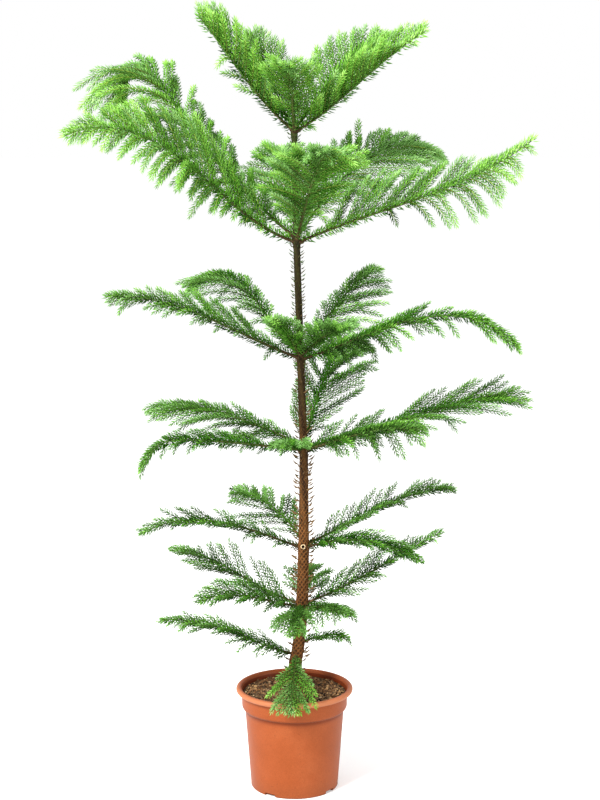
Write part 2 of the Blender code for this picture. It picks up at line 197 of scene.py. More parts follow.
# ... over the roll, and down the outside to the foot.
outline += arc(roll_centre, ROLL_RADIUS, 172, -112, 22)
outline += [(COLLAR_TOP_RADIUS + 0.0004, collar_top - 0.0006), (COLLAR_TOP_RADIUS, straight_top)]
straight_low = straight_top - COLLAR_STRAIGHT
outline += straight((COLLAR_TOP_RADIUS, straight_top), (COLLAR_LOW_RADIUS, straight_low), 4)
outline += [
    (BODY_TOP_RADIUS + round_in * math.cos(t), low_curve - 0.0008 - (COLLAR_CURVE - 0.001) * math.sin(t))
    for t in np.linspace(0.15, 1.45, 8)
]
outline += [(BODY_TOP_RADIUS + 0.0004, COLLAR_HEIGHT - 0.0004), (BODY_TOP_RADIUS - 0.0001, body_top)]
outline += straight((BODY_TOP_RADIUS, body_top), (FOOT_RADIUS, 0.003), 14)
outline += arc((FOOT_RADIUS - 0.0022, 0.0024), 0.0023, -10, -90, 6)
outline += [(FOOT_RADIUS - 0.008, 0.0001), (FOOT_RADIUS - 0.0095, FLOOR_LIFT), (0.03, FLOOR_LIFT)]
radii, levels = np.array(outline).T
turns = np.linspace(0, 2 * math.pi, POT_STEPS, endpoint=False)[:, None]
points = np.stack([radii * np.cos(turns), radii * np.sin(turns), levels + 0.0 * turns], -1)
rows = len(outline)
climb = np.arange(rows - 1)[None]
this = np.arange(POT_STEPS)[:, None] * rows + climb
following = (np.arange(POT_STEPS)[:, None] + 1) % POT_STEPS * rows + climb
quads = np.stack([this, this + 1, following + 1, following], -1).reshape(-1, 4)
pot = piece_of("pot_shell", points, quads, [])
shell = bmesh.new()
shell.from_mesh(pot.data)
for height, rim_row in ((FLOOR_THICKNESS, 0), (FLOOR_LIFT, rows - 1)):
    shell.verts.ensure_lookup_table()
    ring = [shell.verts[k * rows + rim_row] for k in range(POT_STEPS)]
    middle = shell.verts.new((0.0, 0.0, height))
    for k in range(POT_STEPS):
        pair = (ring[k], ring[(k + 1) % POT_STEPS])
        shell.faces.new((pair[1], pair[0], middle) if rim_row else (pair[0], pair[1], middle))
bmesh.ops.recalc_face_normals(shell, faces=shell.faces)
shell.to_mesh(pot.data)
shell.free()
for turn in map(math.radians, NOTCH_TURNS):
    bpy.ops.mesh.primitive_cube_add(size=1.0)
    cutter = bpy.context.object
    cutter.scale = (NOTCH_DEPTH, NOTCH_WIDTH, 2 * NOTCH_HEIGHT)
    cutter.rotation_euler = (0, 0, turn)
    cutter.location = (FOOT_RADIUS * math.cos(turn), FOOT_RADIUS * math.sin(turn), 0)
    rounded = cutter.modifiers.new("rounded", "BEVEL")
    rounded.width = NOTCH_ROUNDING
    rounded.segments = 3
    cut = pot.modifiers.new("notch", "BOOLEAN")
    cut.object = cutter
    cut.solver = "EXACT"
    with bpy.context.temp_override(object=pot, active_object=pot):
        bpy.ops.object.modifier_apply(modifier="notch")
    bpy.data.objects.remove(cutter, do_unlink=True)
pot.data.polygons.foreach_set("use_smooth", np.full(len(pot.data.polygons), True))
pot.data.set_sharp_from_angle(angle=SHARP_ANGLE)

plastic, tree, shader = new_finish("terracotta_plastic", (0.250, 0.050, 0.007), 0.48, 0.12)
place = node(tree, "ShaderNodeTexCoord").outputs["Object"]
east, north, up = node(tree, "ShaderNodeSeparateXYZ", place).outputs
clouds = noise(tree, place, 16.0, 5.0, 0.6)
specks = noise(tree, place, 900.0, 2.0, 0.5)
marks = node(tree, "ShaderNodeTexVoronoi", Vector=place, Scale=74.0).outputs["Distance"]
tint = ramp(
    tree, clouds,
    (0.30, (0.234, 0.051, 0.011)), (0.55, (0.260, 0.059, 0.015)), (0.75, (0.284, 0.071, 0.021)),
)
scuffs = ramp(tree, marks, (0.030, (0.30, 0.28, 0.26)), (0.062, (1.0, 1.0, 1.0)))
colour = layered(tree, "MULTIPLY", 0.85, tint, scuffs)
# The pot darkens towards its foot. Compost and painted shade darken the groove under the collar, with fine
# dark grains all over.
darker_foot = node(tree, "ShaderNodeMapRange", up, 0.0, 0.03, 0.30, 0.0).outputs[0]
colour = layered(tree, "MIX", darker_foot, colour, (0.17, 0.058, 0.022, 1.0))
# Painted shade in the groove where the collar rounds into the body, mixed with compost.
groove_soil_and_shade = ramp(
    tree, up, (0.1355, (1.0, 1.0, 1.0)), (0.1395, (0.62, 0.48, 0.38)), (0.1432, (0.32, 0.23, 0.16)),
    (0.1475, (0.95, 0.93, 0.92)), (0.158, (1.0, 1.0, 1.0)),
)
colour = layered(tree, "MULTIPLY", 0.9, colour, groove_soil_and_shade)
grains = ramp(tree, specks, (0.40, (0.80, 0.77, 0.74)), (0.56, (1.04, 1.04, 1.04)))
colour = layered(tree, "MULTIPLY", 0.8, colour, grains)
# The roll of the rim has a painted highlight along its outer edge; painted shade darkens the wall inside.
level = node(tree, "ShaderNodeCombineXYZ", east, north).outputs["Vector"]
radius = node(tree, "ShaderNodeVectorMath", level, operation="LENGTH").outputs["Value"]
# Painted highlight on the outer edge of the roll.
edge = ramp(tree, radius, (COLLAR_TOP_RADIUS + 0.0035, (0.0,) * 3), (RIM_RADIUS - 0.0012, (0.42,) * 3))
colour = layered(tree, "MIX", edge, colour, (0.56, 0.24, 0.12, 1.0))
# Painted shade on the inner wall above the compost.
inner_side = COLLAR_TOP_RADIUS - 0.5 * POT_WALL
within = node(tree, "ShaderNodeMath", radius, inner_side, operation="LESS_THAN").outputs[0]
above = node(tree, "ShaderNodeMath", up, INNER_SHADE_HEIGHT, operation="GREATER_THAN").outputs[0]
inner_wall_painted_shade = node(tree, "ShaderNodeMath", within, above, operation="MULTIPLY").outputs[0]
colour = layered(tree, "MULTIPLY", inner_wall_painted_shade, colour, (0.55, 0.40, 0.28, 1.0))
feed(tree, shader.inputs["Base Color"], colour)
shine = node(tree, "ShaderNodeMapRange", clouds, 0.3, 0.7, 0.36, 0.52).outputs[0]
feed(tree, shader.inputs["Roughness"], shine)
bumped(tree, shader, specks, 0.12, 0.0004)
pot.data.materials.clear()
pot.data.materials.append(plastic)
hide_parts("pot")

# ---------------------------------------------------------------- bark compost
# Potting mix of composted bark, coir and a little pale grit, filled in loose and settled just below
# the rim. Crumbs and chips of every size lie over a darker bed, with stray fibres of coir.
SOIL_TOP_HEIGHT = 0.1765
SOIL_RADIUS = COLLAR_TOP_RADIUS - POT_WALL - 0.0006
SOIL_BASE = COLLAR_HEIGHT - 0.006
BED_DEPTH = 0.0006
BED_RINGS = 46
BED_STEPS = 132
WAVES = 14
WAVE_DEPTH = 0.00042
CHIPS = 2600
CHIP_SIZE = 0.00155
FIBRES = 170
FIBRE_RADIUS = 0.00028
FIBRE_LIFT = 0.0006
FIBRE_ARCH = 0.0016
COMPOST_SEED = 11

rng = np.random.default_rng(COMPOST_SEED)
soil_waves = [
    (rng.uniform(0.0020, 0.0100), rng.uniform(0, 6.3), rng.uniform(0, 6.3)) for _ in range(WAVES)
]


def soil_height(x, y):
    """The uneven top of the compost: a low mound that falls to the wall, and a sum of small waves."""
    radius = np.hypot(x, y)
    mound = np.interp(radius, [0.0, 0.02, 0.044, 0.068, SOIL_RADIUS], [0.0, 0.0, -0.0008, -0.0020, -0.0040])
    waves = np.zeros_like(x)
    for size, turn, shift in soil_waves:
        waves += WAVE_DEPTH * np.sin((x * math.cos(turn) + y * math.sin(turn)) / size + shift)
    quiet = np.clip((SOIL_RADIUS - radius) / 0.006, 0.0, 1.0)
    return SOIL_TOP_HEIGHT + mound + waves * quiet


radii = SOIL_RADIUS * np.linspace(0.0, 1.0, BED_RINGS)[1:]
angles = np.linspace(0, 2 * math.pi, BED_STEPS, endpoint=False)
x = radii[:, None] * np.cos(angles)
y = radii[:, None] * np.sin(angles)
bed_points = np.stack([x, y, soil_height(x, y) - BED_DEPTH], -1).reshape(-1, 3)
skirt = bed_points[-BED_STEPS:] * (0.93, 0.93, 0.0) + (0.0, 0.0, SOIL_BASE)
bed_points = np.concatenate([bed_points, skirt])
ring_count = len(radii) + 1
low = np.arange(ring_count - 1)[:, None] * BED_STEPS
step = np.arange(BED_STEPS)[None]
after = (step + 1) % BED_STEPS
outer = low + BED_STEPS
bed_faces = np.stack([low + step, outer + step, outer + after, low + after], -1).reshape(-1, 4)
bed_points = np.concatenate([bed_points, [bed_points[:BED_STEPS].mean(0), (0.0, 0.0, SOIL_BASE)]])
top, bottom = len(bed_points) - 2, len(bed_points) - 1
fan = [(k, (k + 1) % BED_STEPS, top) for k in range(BED_STEPS)]
base_ring = (ring_count - 1) * BED_STEPS
fan += [(base_ring + (k + 1) % BED_STEPS, base_ring + k, bottom) for k in range(BED_STEPS)]
triangles = np.concatenate([bed_faces[:, [0, 1, 2]], bed_faces[:, [0, 2, 3]], np.array(fan)])

bed_finish, tree, shader = new_finish("compost_bed", (0.10, 0.06, 0.03), 0.95, 0.25)
place = node(tree, "ShaderNodeTexCoord").outputs["Object"]
crumbs = node(tree, "ShaderNodeTexVoronoi", Vector=place, Scale=420.0).outputs["Distance"]
patches = noise(tree, place, 140.0, 6.0, 0.7)
earth = ramp(
    tree, patches,
    (0.30, (0.015, 0.007, 0.004)), (0.50, (0.068, 0.038, 0.017)), (0.68, (0.173, 0.105, 0.049)),
)
feed(tree, shader.inputs["Base Color"], earth)
bumped(tree, shader, crumbs, 0.9, 0.0015)
bed = piece_of("compost_bed", bed_points, triangles, [bed_finish])
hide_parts("soil")

# Loose chips: flattened, uneven lumps that lie tilted on the bed, thickest where the mix is coarse.
chip_shape = np.array(
    [
        (1, 0, 0), (0.5, 0.85, 0.1), (-0.5, 0.8, 0), (-1, 0.05, 0.1), (-0.45, -0.85, 0), (0.5, -0.9, 0.05),
        (0.35, 0.2, 1), (-0.4, 0.1, 0.9), (0.0, -0.4, 0.8), (0.1, 0.0, -0.9),
    ]
)
chip_faces = np.array(
    [
        (0, 1, 6), (1, 2, 6), (2, 7, 6), (2, 3, 7), (3, 4, 7), (4, 8, 7), (4, 5, 8), (5, 0, 8),
        (0, 6, 8), (6, 7, 8), (1, 0, 9), (2, 1, 9), (3, 2, 9), (4, 3, 9), (5, 4, 9), (0, 5, 9),
    ]
)
reach = (SOIL_RADIUS - 0.003) * np.sqrt(rng.uniform(0.012, 1.0, CHIPS))
turn = rng.uniform(0, 2 * math.pi, CHIPS)
size = np.clip(rng.lognormal(math.log(CHIP_SIZE), 0.45, CHIPS), 0.0008, 0.0048)
spots = np.stack([reach * np.cos(turn), reach * np.sin(turn)], -1)
stretch = np.stack([size, size * rng.uniform(0.45, 0.9, CHIPS), size * rng.uniform(0.25, 0.6, CHIPS)], -1)
lumps = chip_shape[None] * stretch[:, None] * rng.uniform(0.75, 1.25, (CHIPS, len(chip_shape), 1))
tilt, roll, spin = rng.normal(0, 0.45, CHIPS), rng.normal(0, 0.45, CHIPS), rng.uniform(0, 6.3, CHIPS)


def turned(points, angle, first, second):
    """Points of many small lumps, each turned in the plane of two axes by its own angle."""
    cos, sin = np.cos(angle)[:, None], np.sin(angle)[:, None]
    out = points.copy()
    out[..., first] = points[..., first] * cos - points[..., second] * sin
    out[..., second] = points[..., first] * sin + points[..., second] * cos
    return out


lumps = turned(turned(turned(lumps, tilt, 1, 2), roll, 0, 2), spin, 0, 1)
rest = soil_height(spots[:, 0], spots[:, 1]) + size * rng.uniform(0.0, 0.35, CHIPS)
chip_points = lumps + np.concatenate([spots, rest[:, None]], -1)[:, None]
inside_wall = np.hypot(chip_points[..., 0], chip_points[..., 1]).max(1) < SOIL_RADIUS - 0.0004
chip_points = chip_points[inside_wall]
count = len(chip_points)
chip_corners = (chip_faces[None] + np.arange(count)[:, None, None] * len(chip_shape)).reshape(-1, 3)


def grained(name, colour, roughness, specular, scale, strength):
    """A plain colour whose shine and surface are broken up by a fine natural grain."""
    finish, tree, shader = new_finish(name, colour, roughness, specular)
    place = node(tree, "ShaderNodeTexCoord").outputs["Object"]
    grain = noise(tree, place, scale, 3.0, 0.6)
    least, most = roughness - 0.12, min(roughness + 0.12, 1.0)
    shine = node(tree, "ShaderNodeMapRange", grain, 0.3, 0.7, least, most).outputs[0]
    feed(tree, shader.inputs["Roughness"], shine)
    bumped(tree, shader, grain, strength, 0.0003)
    return finish


chip_finishes = [
    grained(name, colour, 0.88, 0.20, 900.0, 0.6)
    for name, colour in (
        ("bark_dark", (0.022, 0.010, 0.004)),
        ("bark_brown", (0.094, 0.042, 0.016)),
        ("bark_red_brown", (0.180, 0.082, 0.030)),
        ("bark_tan", (0.310, 0.180, 0.076)),
        ("grit_pale", (0.430, 0.310, 0.175)),
    )
]
chip_deal = np.repeat(rng.choice(5, count, p=(0.24, 0.32, 0.25, 0.16, 0.03)), len(chip_faces))
chips = piece_of("compost_chips", chip_points, chip_corners, chip_finishes, chip_deal, smooth=False)


def unit(vectors):
    return vectors / np.maximum(np.linalg.norm(vectors, axis=-1, keepdims=True), 1e-9)


def loft_quads(many, rows, sides):
    """The walls and the end caps of many closed lofts, each of rows rings of an even number of points."""
    first = np.arange(many)[:, None, None] * rows * sides
    low = first + np.arange(rows - 1)[None, :, None] * sides
    k = np.arange(sides)[None, None]
    after = (k + 1) % sides
    walls = np.stack([low + k, low + after, low + sides + after, low + sides + k], -1)
    cap = np.array([(0, k, k + 1, k + 2) for k in range(1, sides - 2, 2)])
    near = first + cap[:, ::-1]
    far = first + (rows - 1) * sides + cap
    return walls.reshape(-1, 4), np.concatenate([near.reshape(-1, 4), far.reshape(-1, 4)])


def tubes(lines, radii, sides, over):
    """Closed tubes along many lines of equal count, as points and quads; over says which way is up."""
    lines = np.asarray(lines, float)
    many, rows = lines.shape[:2]
    along = unit(np.gradient(lines, axis=1))
    across = unit(np.cross(along, np.broadcast_to(np.asarray(over, float), along.shape)))
    upright = np.cross(across, along)
    turn = np.linspace(0, 2 * math.pi, sides, endpoint=False)
    ring = across[:, :, None] * np.cos(turn)[:, None] - upright[:, :, None] * np.sin(turn)[:, None]
    radii = np.broadcast_to(radii, (many, rows))
    points = lines[:, :, None] + ring * radii[:, :, None, None]
    return points.reshape(-1, 3), np.concatenate(loft_quads(many, rows, sides))


fibre_reach = (SOIL_RADIUS - 0.010) * np.sqrt(rng.uniform(0.05, 1.0, FIBRES))
fibre_turn = rng.uniform(0, 2 * math.pi, FIBRES)
heading = rng.uniform(0, 2 * math.pi, FIBRES)
bend = rng.normal(0, 1.1, FIBRES)
lengths = rng.uniform(0.006, 0.018, FIBRES)
share = np.linspace(0, 1, 7)
ways = heading[:, None] + bend[:, None] * share
path = np.cumsum(np.stack([np.cos(ways), np.sin(ways)], -1) * (lengths / 6)[:, None, None], 1)
path += np.stack([fibre_reach * np.cos(fibre_turn), fibre_reach * np.sin(fibre_turn)], -1)[:, None]
strayed = np.maximum(np.linalg.norm(path, axis=-1, keepdims=True), 1e-6)
path *= np.minimum(1.0, (SOIL_RADIUS - 0.002) / strayed)
arch = FIBRE_ARCH * np.sin(math.pi * share) * rng.uniform(0, 1, FIBRES)[:, None]
hump = soil_height(path[..., 0], path[..., 1]) + FIBRE_LIFT + arch
fibre_points, fibre_faces = tubes(np.concatenate([path, hump[..., None]], -1), FIBRE_RADIUS, 4, (0, 0, 1))
coir = grained("coir_fibre", (0.330, 0.190, 0.088), 0.85, 0.25, 1200.0, 0.5)
fibres = piece_of("compost_fibres", fibre_points, fibre_faces, [coir])

# ---------------------------------------------------------------- trunk
# The plant's one leader, soft wood under a thin brown bark that greens towards the bud. Fallen
# leaves have left a net of ridges round dark diamond pits, and some old stiff leaves still stand.
TRUNK = np.array(
    [
        # height, shift along X, radius
        (SOIL_TOP_HEIGHT - 0.0030, 0.0000, 0.0158),
        (SOIL_TOP_HEIGHT + 0.0003, 0.0000, 0.0150),
        (0.1860, 0.0000, 0.0128),
        (0.2020, 0.0002, 0.0116),
        (0.2320, 0.0022, 0.0118),
        (0.2480, 0.0058, 0.0110),
        (0.3000, 0.0118, 0.0104),
        (0.3330, 0.0136, 0.0114),
        (0.3600, 0.0144, 0.0100),
        (0.4240, 0.0160, 0.0096),
        (0.4390, 0.0164, 0.0106),
        (0.4560, 0.0166, 0.0088),
        (0.6020, 0.0166, 0.0076),
        (0.6170, 0.0162, 0.0088),
        (0.6340, 0.0158, 0.0072),
        (0.7640, 0.0114, 0.0066),
        (0.7780, 0.0108, 0.0082),
        (0.7950, 0.0102, 0.0064),
        (0.9660, 0.0044, 0.0060),
        (0.9800, 0.0040, 0.0078),
        (0.9960, 0.0036, 0.0056),
        (1.1480, 0.0004, 0.0047),
        (1.1640, 0.0000, 0.0066),
        (1.1820, 0.0000, 0.0036),
        (1.1960, 0.0000, 0.0024),
        (1.2020, 0.0000, 0.0004),
    ]
)
TRUNK_TOP = TRUNK[-1, 0]
TRUNK_SIDES = 56
# Rows of the mesh lie closer below this height, where the bark is coarse.
FINE_BELOW = 0.630
FINE_ROW = 0.00135
COARSE_ROW = 0.0020
# The net of scars: its columns round the trunk, its pitch up it, and its relief.
SCAR_COLUMNS = 8
SCAR_PITCH = 0.0093
RIDGE_HEIGHT = 0.00045
PIT_DEPTH = 0.00085
FISSURE_DEPTH = 0.00010
FLARE = 0.0012
STUB_HEIGHT = 0.4390
STUB_TURN = math.radians(266.0)
STUB_SIDES = 28
OLD_LEAVES = 620
OLD_LEAF_WIDTH = 0.0010
OLD_LEAF_SEED = 23
GOLDEN_TURN = math.radians(137.508)
BUD_SCALES = 34
BUD_HEIGHT = 0.0030
BUD_RADIUS = 0.0022
BUD_SCALE_LENGTH = 0.0052
BUD_SCALE_WIDTH = 0.0018


def trunk_at(height):
    """The trunk's axis along X and its radius, at one height or at many."""
    return np.interp(height, TRUNK[:, 0], TRUNK[:, 1]), np.interp(height, TRUNK[:, 0], TRUNK[:, 2])


def rise(x, low, high):
    """A smooth climb from 0 at low to 1 at high."""
    share = np.clip((x - low) / (high - low), 0.0, 1.0)
    return share * share * (3.0 - 2.0 * share)


def scar_net(turns, distance, columns, pitch):
    """How deep in its diamond a point lies: 0 on the ridges of the net and 0.5 in the middle of a scar."""
    across = turns * columns / (2 * math.pi)
    up = distance / pitch
    first, second = across + up, across - up
    return np.minimum(np.abs(first - np.round(first)), np.abs(second - np.round(second)))


low_rows = np.arange(TRUNK[0, 0], FINE_BELOW, FINE_ROW)
heights = np.concatenate([low_rows, np.arange(FINE_BELOW, TRUNK_TOP - 0.0002, COARSE_ROW), [TRUNK_TOP]])
angles = np.linspace(0, 2 * math.pi, TRUNK_SIDES, endpoint=False)
axis, girth = trunk_at(heights)
soft = np.convolve(np.pad(girth, 2, mode="edge"), (0.15, 0.2, 0.3, 0.2, 0.15), "valid")
level = heights[:, None]
wander = 0.16 * np.sin(level * 71.0 + 2.0 * np.sin(angles)) + 0.12 * np.sin(level * 173.0 - angles)
net = scar_net(level * 9.0 + angles + 0.35 * wander, level + 0.0010 * wander, SCAR_COLUMNS, SCAR_PITCH)
worn = 0.80 + 0.20 * np.clip((0.44 - level) / 0.02, 0, 1) + 0.25 * np.sin(level * 57 + 3 * angles)
# Below, the net is worn and its pits are small; above, thin ridges stand round wide pits.
fresh = 0.14 * rise(level, 0.44, 0.56)
pit = rise(net - 0.13 + fresh, 0.0, 0.10) * np.clip(worn, 0.25, 1.0)
ridge = 1.0 - rise(net, 0.02, 0.20)
fissure = np.sin(level * 900 + 5 * np.sin(angles * 3)) * np.sin(angles * 11 + level * 130)
slim = np.clip(girth / 0.0104, 0.35, 1.0)[:, None]
foot = np.exp(-(level - SOIL_TOP_HEIGHT) / 0.010) * FLARE * np.cos(5 * angles + 0.7)
radius = soft[:, None] + slim * (RIDGE_HEIGHT * ridge - PIT_DEPTH * pit + FISSURE_DEPTH * fissure) + foot
across, deep = axis[:, None] + radius * np.cos(angles), radius * np.sin(angles)
trunk_points = np.stack([across, deep, np.broadcast_to(level, radius.shape)], -1)
trunk_quads = np.concatenate(loft_quads(1, len(heights), TRUNK_SIDES))

bark, tree, shader = new_finish("bark", (0.20, 0.10, 0.045), 0.85, 0.12)
place = node(tree, "ShaderNodeTexCoord").outputs["Object"]
stretched = node(tree, "ShaderNodeMapping", Vector=place, Scale=(1.0, 1.0, 0.45)).outputs["Vector"]
flecks = noise(tree, stretched, 240.0, 6.0, 0.7)
up = node(tree, "ShaderNodeSeparateXYZ", place).outputs["Z"]
age = node(tree, "ShaderNodeMapRange", up, 0.17, 1.20, 0.0, 1.0).outputs[0]
ridges = ramp(
    tree, age, (0.0, (0.120, 0.047, 0.013)), (0.28, (0.155, 0.064, 0.018)), (0.42, (0.130, 0.060, 0.016)),
    (0.52, (0.058, 0.036, 0.009)), (0.62, (0.036, 0.029, 0.006)), (0.84, (0.032, 0.026, 0.006)),
    (1.0, (0.034, 0.034, 0.008)),
)
hollows = ramp(
    tree, age, (0.0, (0.022, 0.009, 0.003)), (0.5, (0.014, 0.006, 0.002)), (0.8, (0.010, 0.009, 0.003)),
    (1.0, (0.022, 0.036, 0.008)),
)
patchy = ramp(tree, flecks, (0.32, (0.50, 0.46, 0.44)), (0.62, (1.15, 1.12, 1.08)))
depth = node(tree, "ShaderNodeAttribute", attribute_name="pit").outputs["Fac"]
dappled = layered(tree, "MULTIPLY", 0.85, ridges, patchy)
feed(tree, shader.inputs["Base Color"], layered(tree, "MIX", depth, dappled, hollows))
bumped(tree, shader, flecks, 0.6, 0.0006)
trunk = piece_of("trunk_bark", trunk_points, trunk_quads, [bark])
trunk.data.attributes.new("pit", "FLOAT", "POINT").data.foreach_set("value", pit.astype(np.float32).ravel())
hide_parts("trunk")

# The stub of a cut bough: a short brown collar, its pale ring of cut wood, and a dark sunken heart.
outward = unit(np.array([math.cos(STUB_TURN), math.sin(STUB_TURN), 0.25]))
across = unit(np.cross(outward, (0.0, 0.0, 1.0)))
over = np.cross(across, outward)
stub_foot = np.array([trunk_at(STUB_HEIGHT)[0], 0.0, STUB_HEIGHT])
stub_outline = [
    # distance from the trunk's axis, radius, finish: 0 bark, 1 cut wood, 2 heart
    (0.0060, 0.0052, 0), (0.0100, 0.0050, 0), (0.0125, 0.0044, 0), (0.0146, 0.0042, 0), (0.0155, 0.0041, 1),
    (0.0159, 0.0037, 1), (0.0158, 0.0030, 1), (0.0152, 0.0025, 2), (0.0138, 0.0021, 2), (0.0126, 0.0012, 2),
    (0.0122, 0.0002, 2),
]
turns = np.linspace(0, 2 * math.pi, STUB_SIDES, endpoint=False)
uneven = 1.0 + 0.06 * np.sin(3 * turns + 1.0) + 0.04 * np.sin(7 * turns)
round_stub = (across * np.cos(turns)[:, None] + over * np.sin(turns)[:, None]) * uneven[:, None]
rings = [stub_foot + outward * far + round_stub * wide for far, wide, _ in stub_outline]
stub_walls, stub_ends = loft_quads(1, len(rings), STUB_SIDES)
stub_finishes = [
    grained("stub_bark", (0.120, 0.058, 0.026), 0.85, 0.2, 900.0, 0.9),
    grained("cut_wood", (0.62, 0.47, 0.27), 0.75, 0.3, 1500.0, 0.5),
    grained("stub_heart", (0.014, 0.008, 0.005), 0.88, 0.1, 1100.0, 0.8),
]
wall_deal = np.repeat([finish for _, _, finish in stub_outline[1:]], STUB_SIDES)
stub_deal = np.concatenate([wall_deal, np.repeat((0, 2), len(stub_ends) // 2)])
stub = piece_of(
    "cut_stub", np.concatenate(rings), np.concatenate([stub_walls, stub_ends]), stub_finishes, stub_deal
)


def awls(feet, first_way, last_way, lengths, widths):
    """Closed awl-shaped leaves of four faces: pointed at foot and tip, and widest at the bend."""
    bend = feet + first_way * (lengths * 0.46)[:, None]
    tips = bend + last_way * (lengths * 0.54)[:, None]
    across = unit(np.cross(first_way, last_way)) * widths[:, None] * 0.5
    points = np.stack([feet, bend + across, bend - across, tips], 1)
    shape = np.array([(0, 2, 1), (3, 1, 2), (0, 1, 3), (0, 3, 2)])
    corners = shape[None] + np.arange(len(feet))[:, None, None] * 4
    return points.reshape(-1, 3), corners.reshape(-1, 3)


# Old leaves on the trunk: stiff, curved awls set in a spiral, brown below and olive towards the top.
rng = np.random.default_rng(OLD_LEAF_SEED)
places = ((np.arange(OLD_LEAVES) + 0.5) / OLD_LEAVES) ** 0.90
leaf_heights = 0.205 + 0.985 * places + rng.normal(0, 0.0012, OLD_LEAVES)
leaf_turns = np.arange(OLD_LEAVES) * GOLDEN_TURN + rng.normal(0, 0.12, OLD_LEAVES)
leaf_axis, leaf_girth = trunk_at(leaf_heights)
level = np.zeros(OLD_LEAVES)
radial = np.stack([np.cos(leaf_turns), np.sin(leaf_turns), level], -1)
feet = radial * (leaf_girth - 0.0008)[:, None] + np.stack([leaf_axis, level, leaf_heights], -1)
droop = rng.normal(0.18, 0.16, OLD_LEAVES)[:, None]
askew = rng.normal(0, 0.3, OLD_LEAVES)[:, None]
sideways = np.stack([-np.sin(leaf_turns), np.cos(leaf_turns), level], -1) * askew
first_way = unit(radial + sideways + (0.0, 0.0, 1.0) * droop)
last_way = unit(radial + sideways * 1.4 + (0.0, 0.0, 1.0) * (droop + 1.15))
lengths = rng.uniform(0.0135, 0.0205, OLD_LEAVES) * (1.0 - 0.34 * rise(leaf_heights, 0.58, 0.80))
points, corners = awls(feet, first_way, last_way, lengths, np.full(OLD_LEAVES, OLD_LEAF_WIDTH))
leaf_finishes = [
    grained("leaf_brown", (0.110, 0.066, 0.026), 0.65, 0.15, 800.0, 0.3),
    grained("leaf_olive", (0.046, 0.042, 0.013), 0.65, 0.15, 800.0, 0.3),
    grained("leaf_green", (0.036, 0.070, 0.012), 0.65, 0.15, 800.0, 0.3),
]
greening = np.clip((leaf_heights - 0.44) / 0.72 + rng.normal(0, 0.12, OLD_LEAVES), 0, 0.999)
leaf_deal = np.repeat((greening * 3).astype(int), 4)
old_leaves = piece_of("old_leaves", points, corners, leaf_finishes, leaf_deal, smooth=False)

# The resting bud in the fork of the top whorl: a small knob of pale, close-set scale leaves.
bud_foot = np.array([0.0012, -0.0052, 1.1745])
bud_axis = unit(np.array([0.10, -0.80, 0.60]))
bud_across = unit(np.cross(bud_axis, (1.0, 0.0, 0.0)))
bud_over = np.cross(bud_axis, bud_across)
bud_turns = np.arange(BUD_SCALES) * GOLDEN_TURN
share = (np.arange(BUD_SCALES) / BUD_SCALES)[:, None]
radial = bud_across * np.cos(bud_turns)[:, None] + bud_over * np.sin(bud_turns)[:, None]
feet = bud_foot + bud_axis * BUD_HEIGHT * share + radial * BUD_RADIUS * (1.0 - 0.6 * share)
lengths, widths = np.full(BUD_SCALES, BUD_SCALE_LENGTH), np.full(BUD_SCALES, BUD_SCALE_WIDTH)
points, corners = awls(feet, unit(radial * 0.7 + bud_axis), unit(bud_axis - radial * 0.25), lengths, widths)
bud_finishes = [
    grained("bud_cream", (0.720, 0.560, 0.250), 0.6, 0.3, 900.0, 0.3),
    grained("bud_green", (0.420, 0.520, 0.130), 0.6, 0.3, 900.0, 0.3),
]
bud_deal = np.repeat(rng.integers(0, 4, BUD_SCALES) == 0, 4).astype(int)
bud = piece_of("bud_scales", points, corners, bud_finishes, bud_deal, smooth=False)

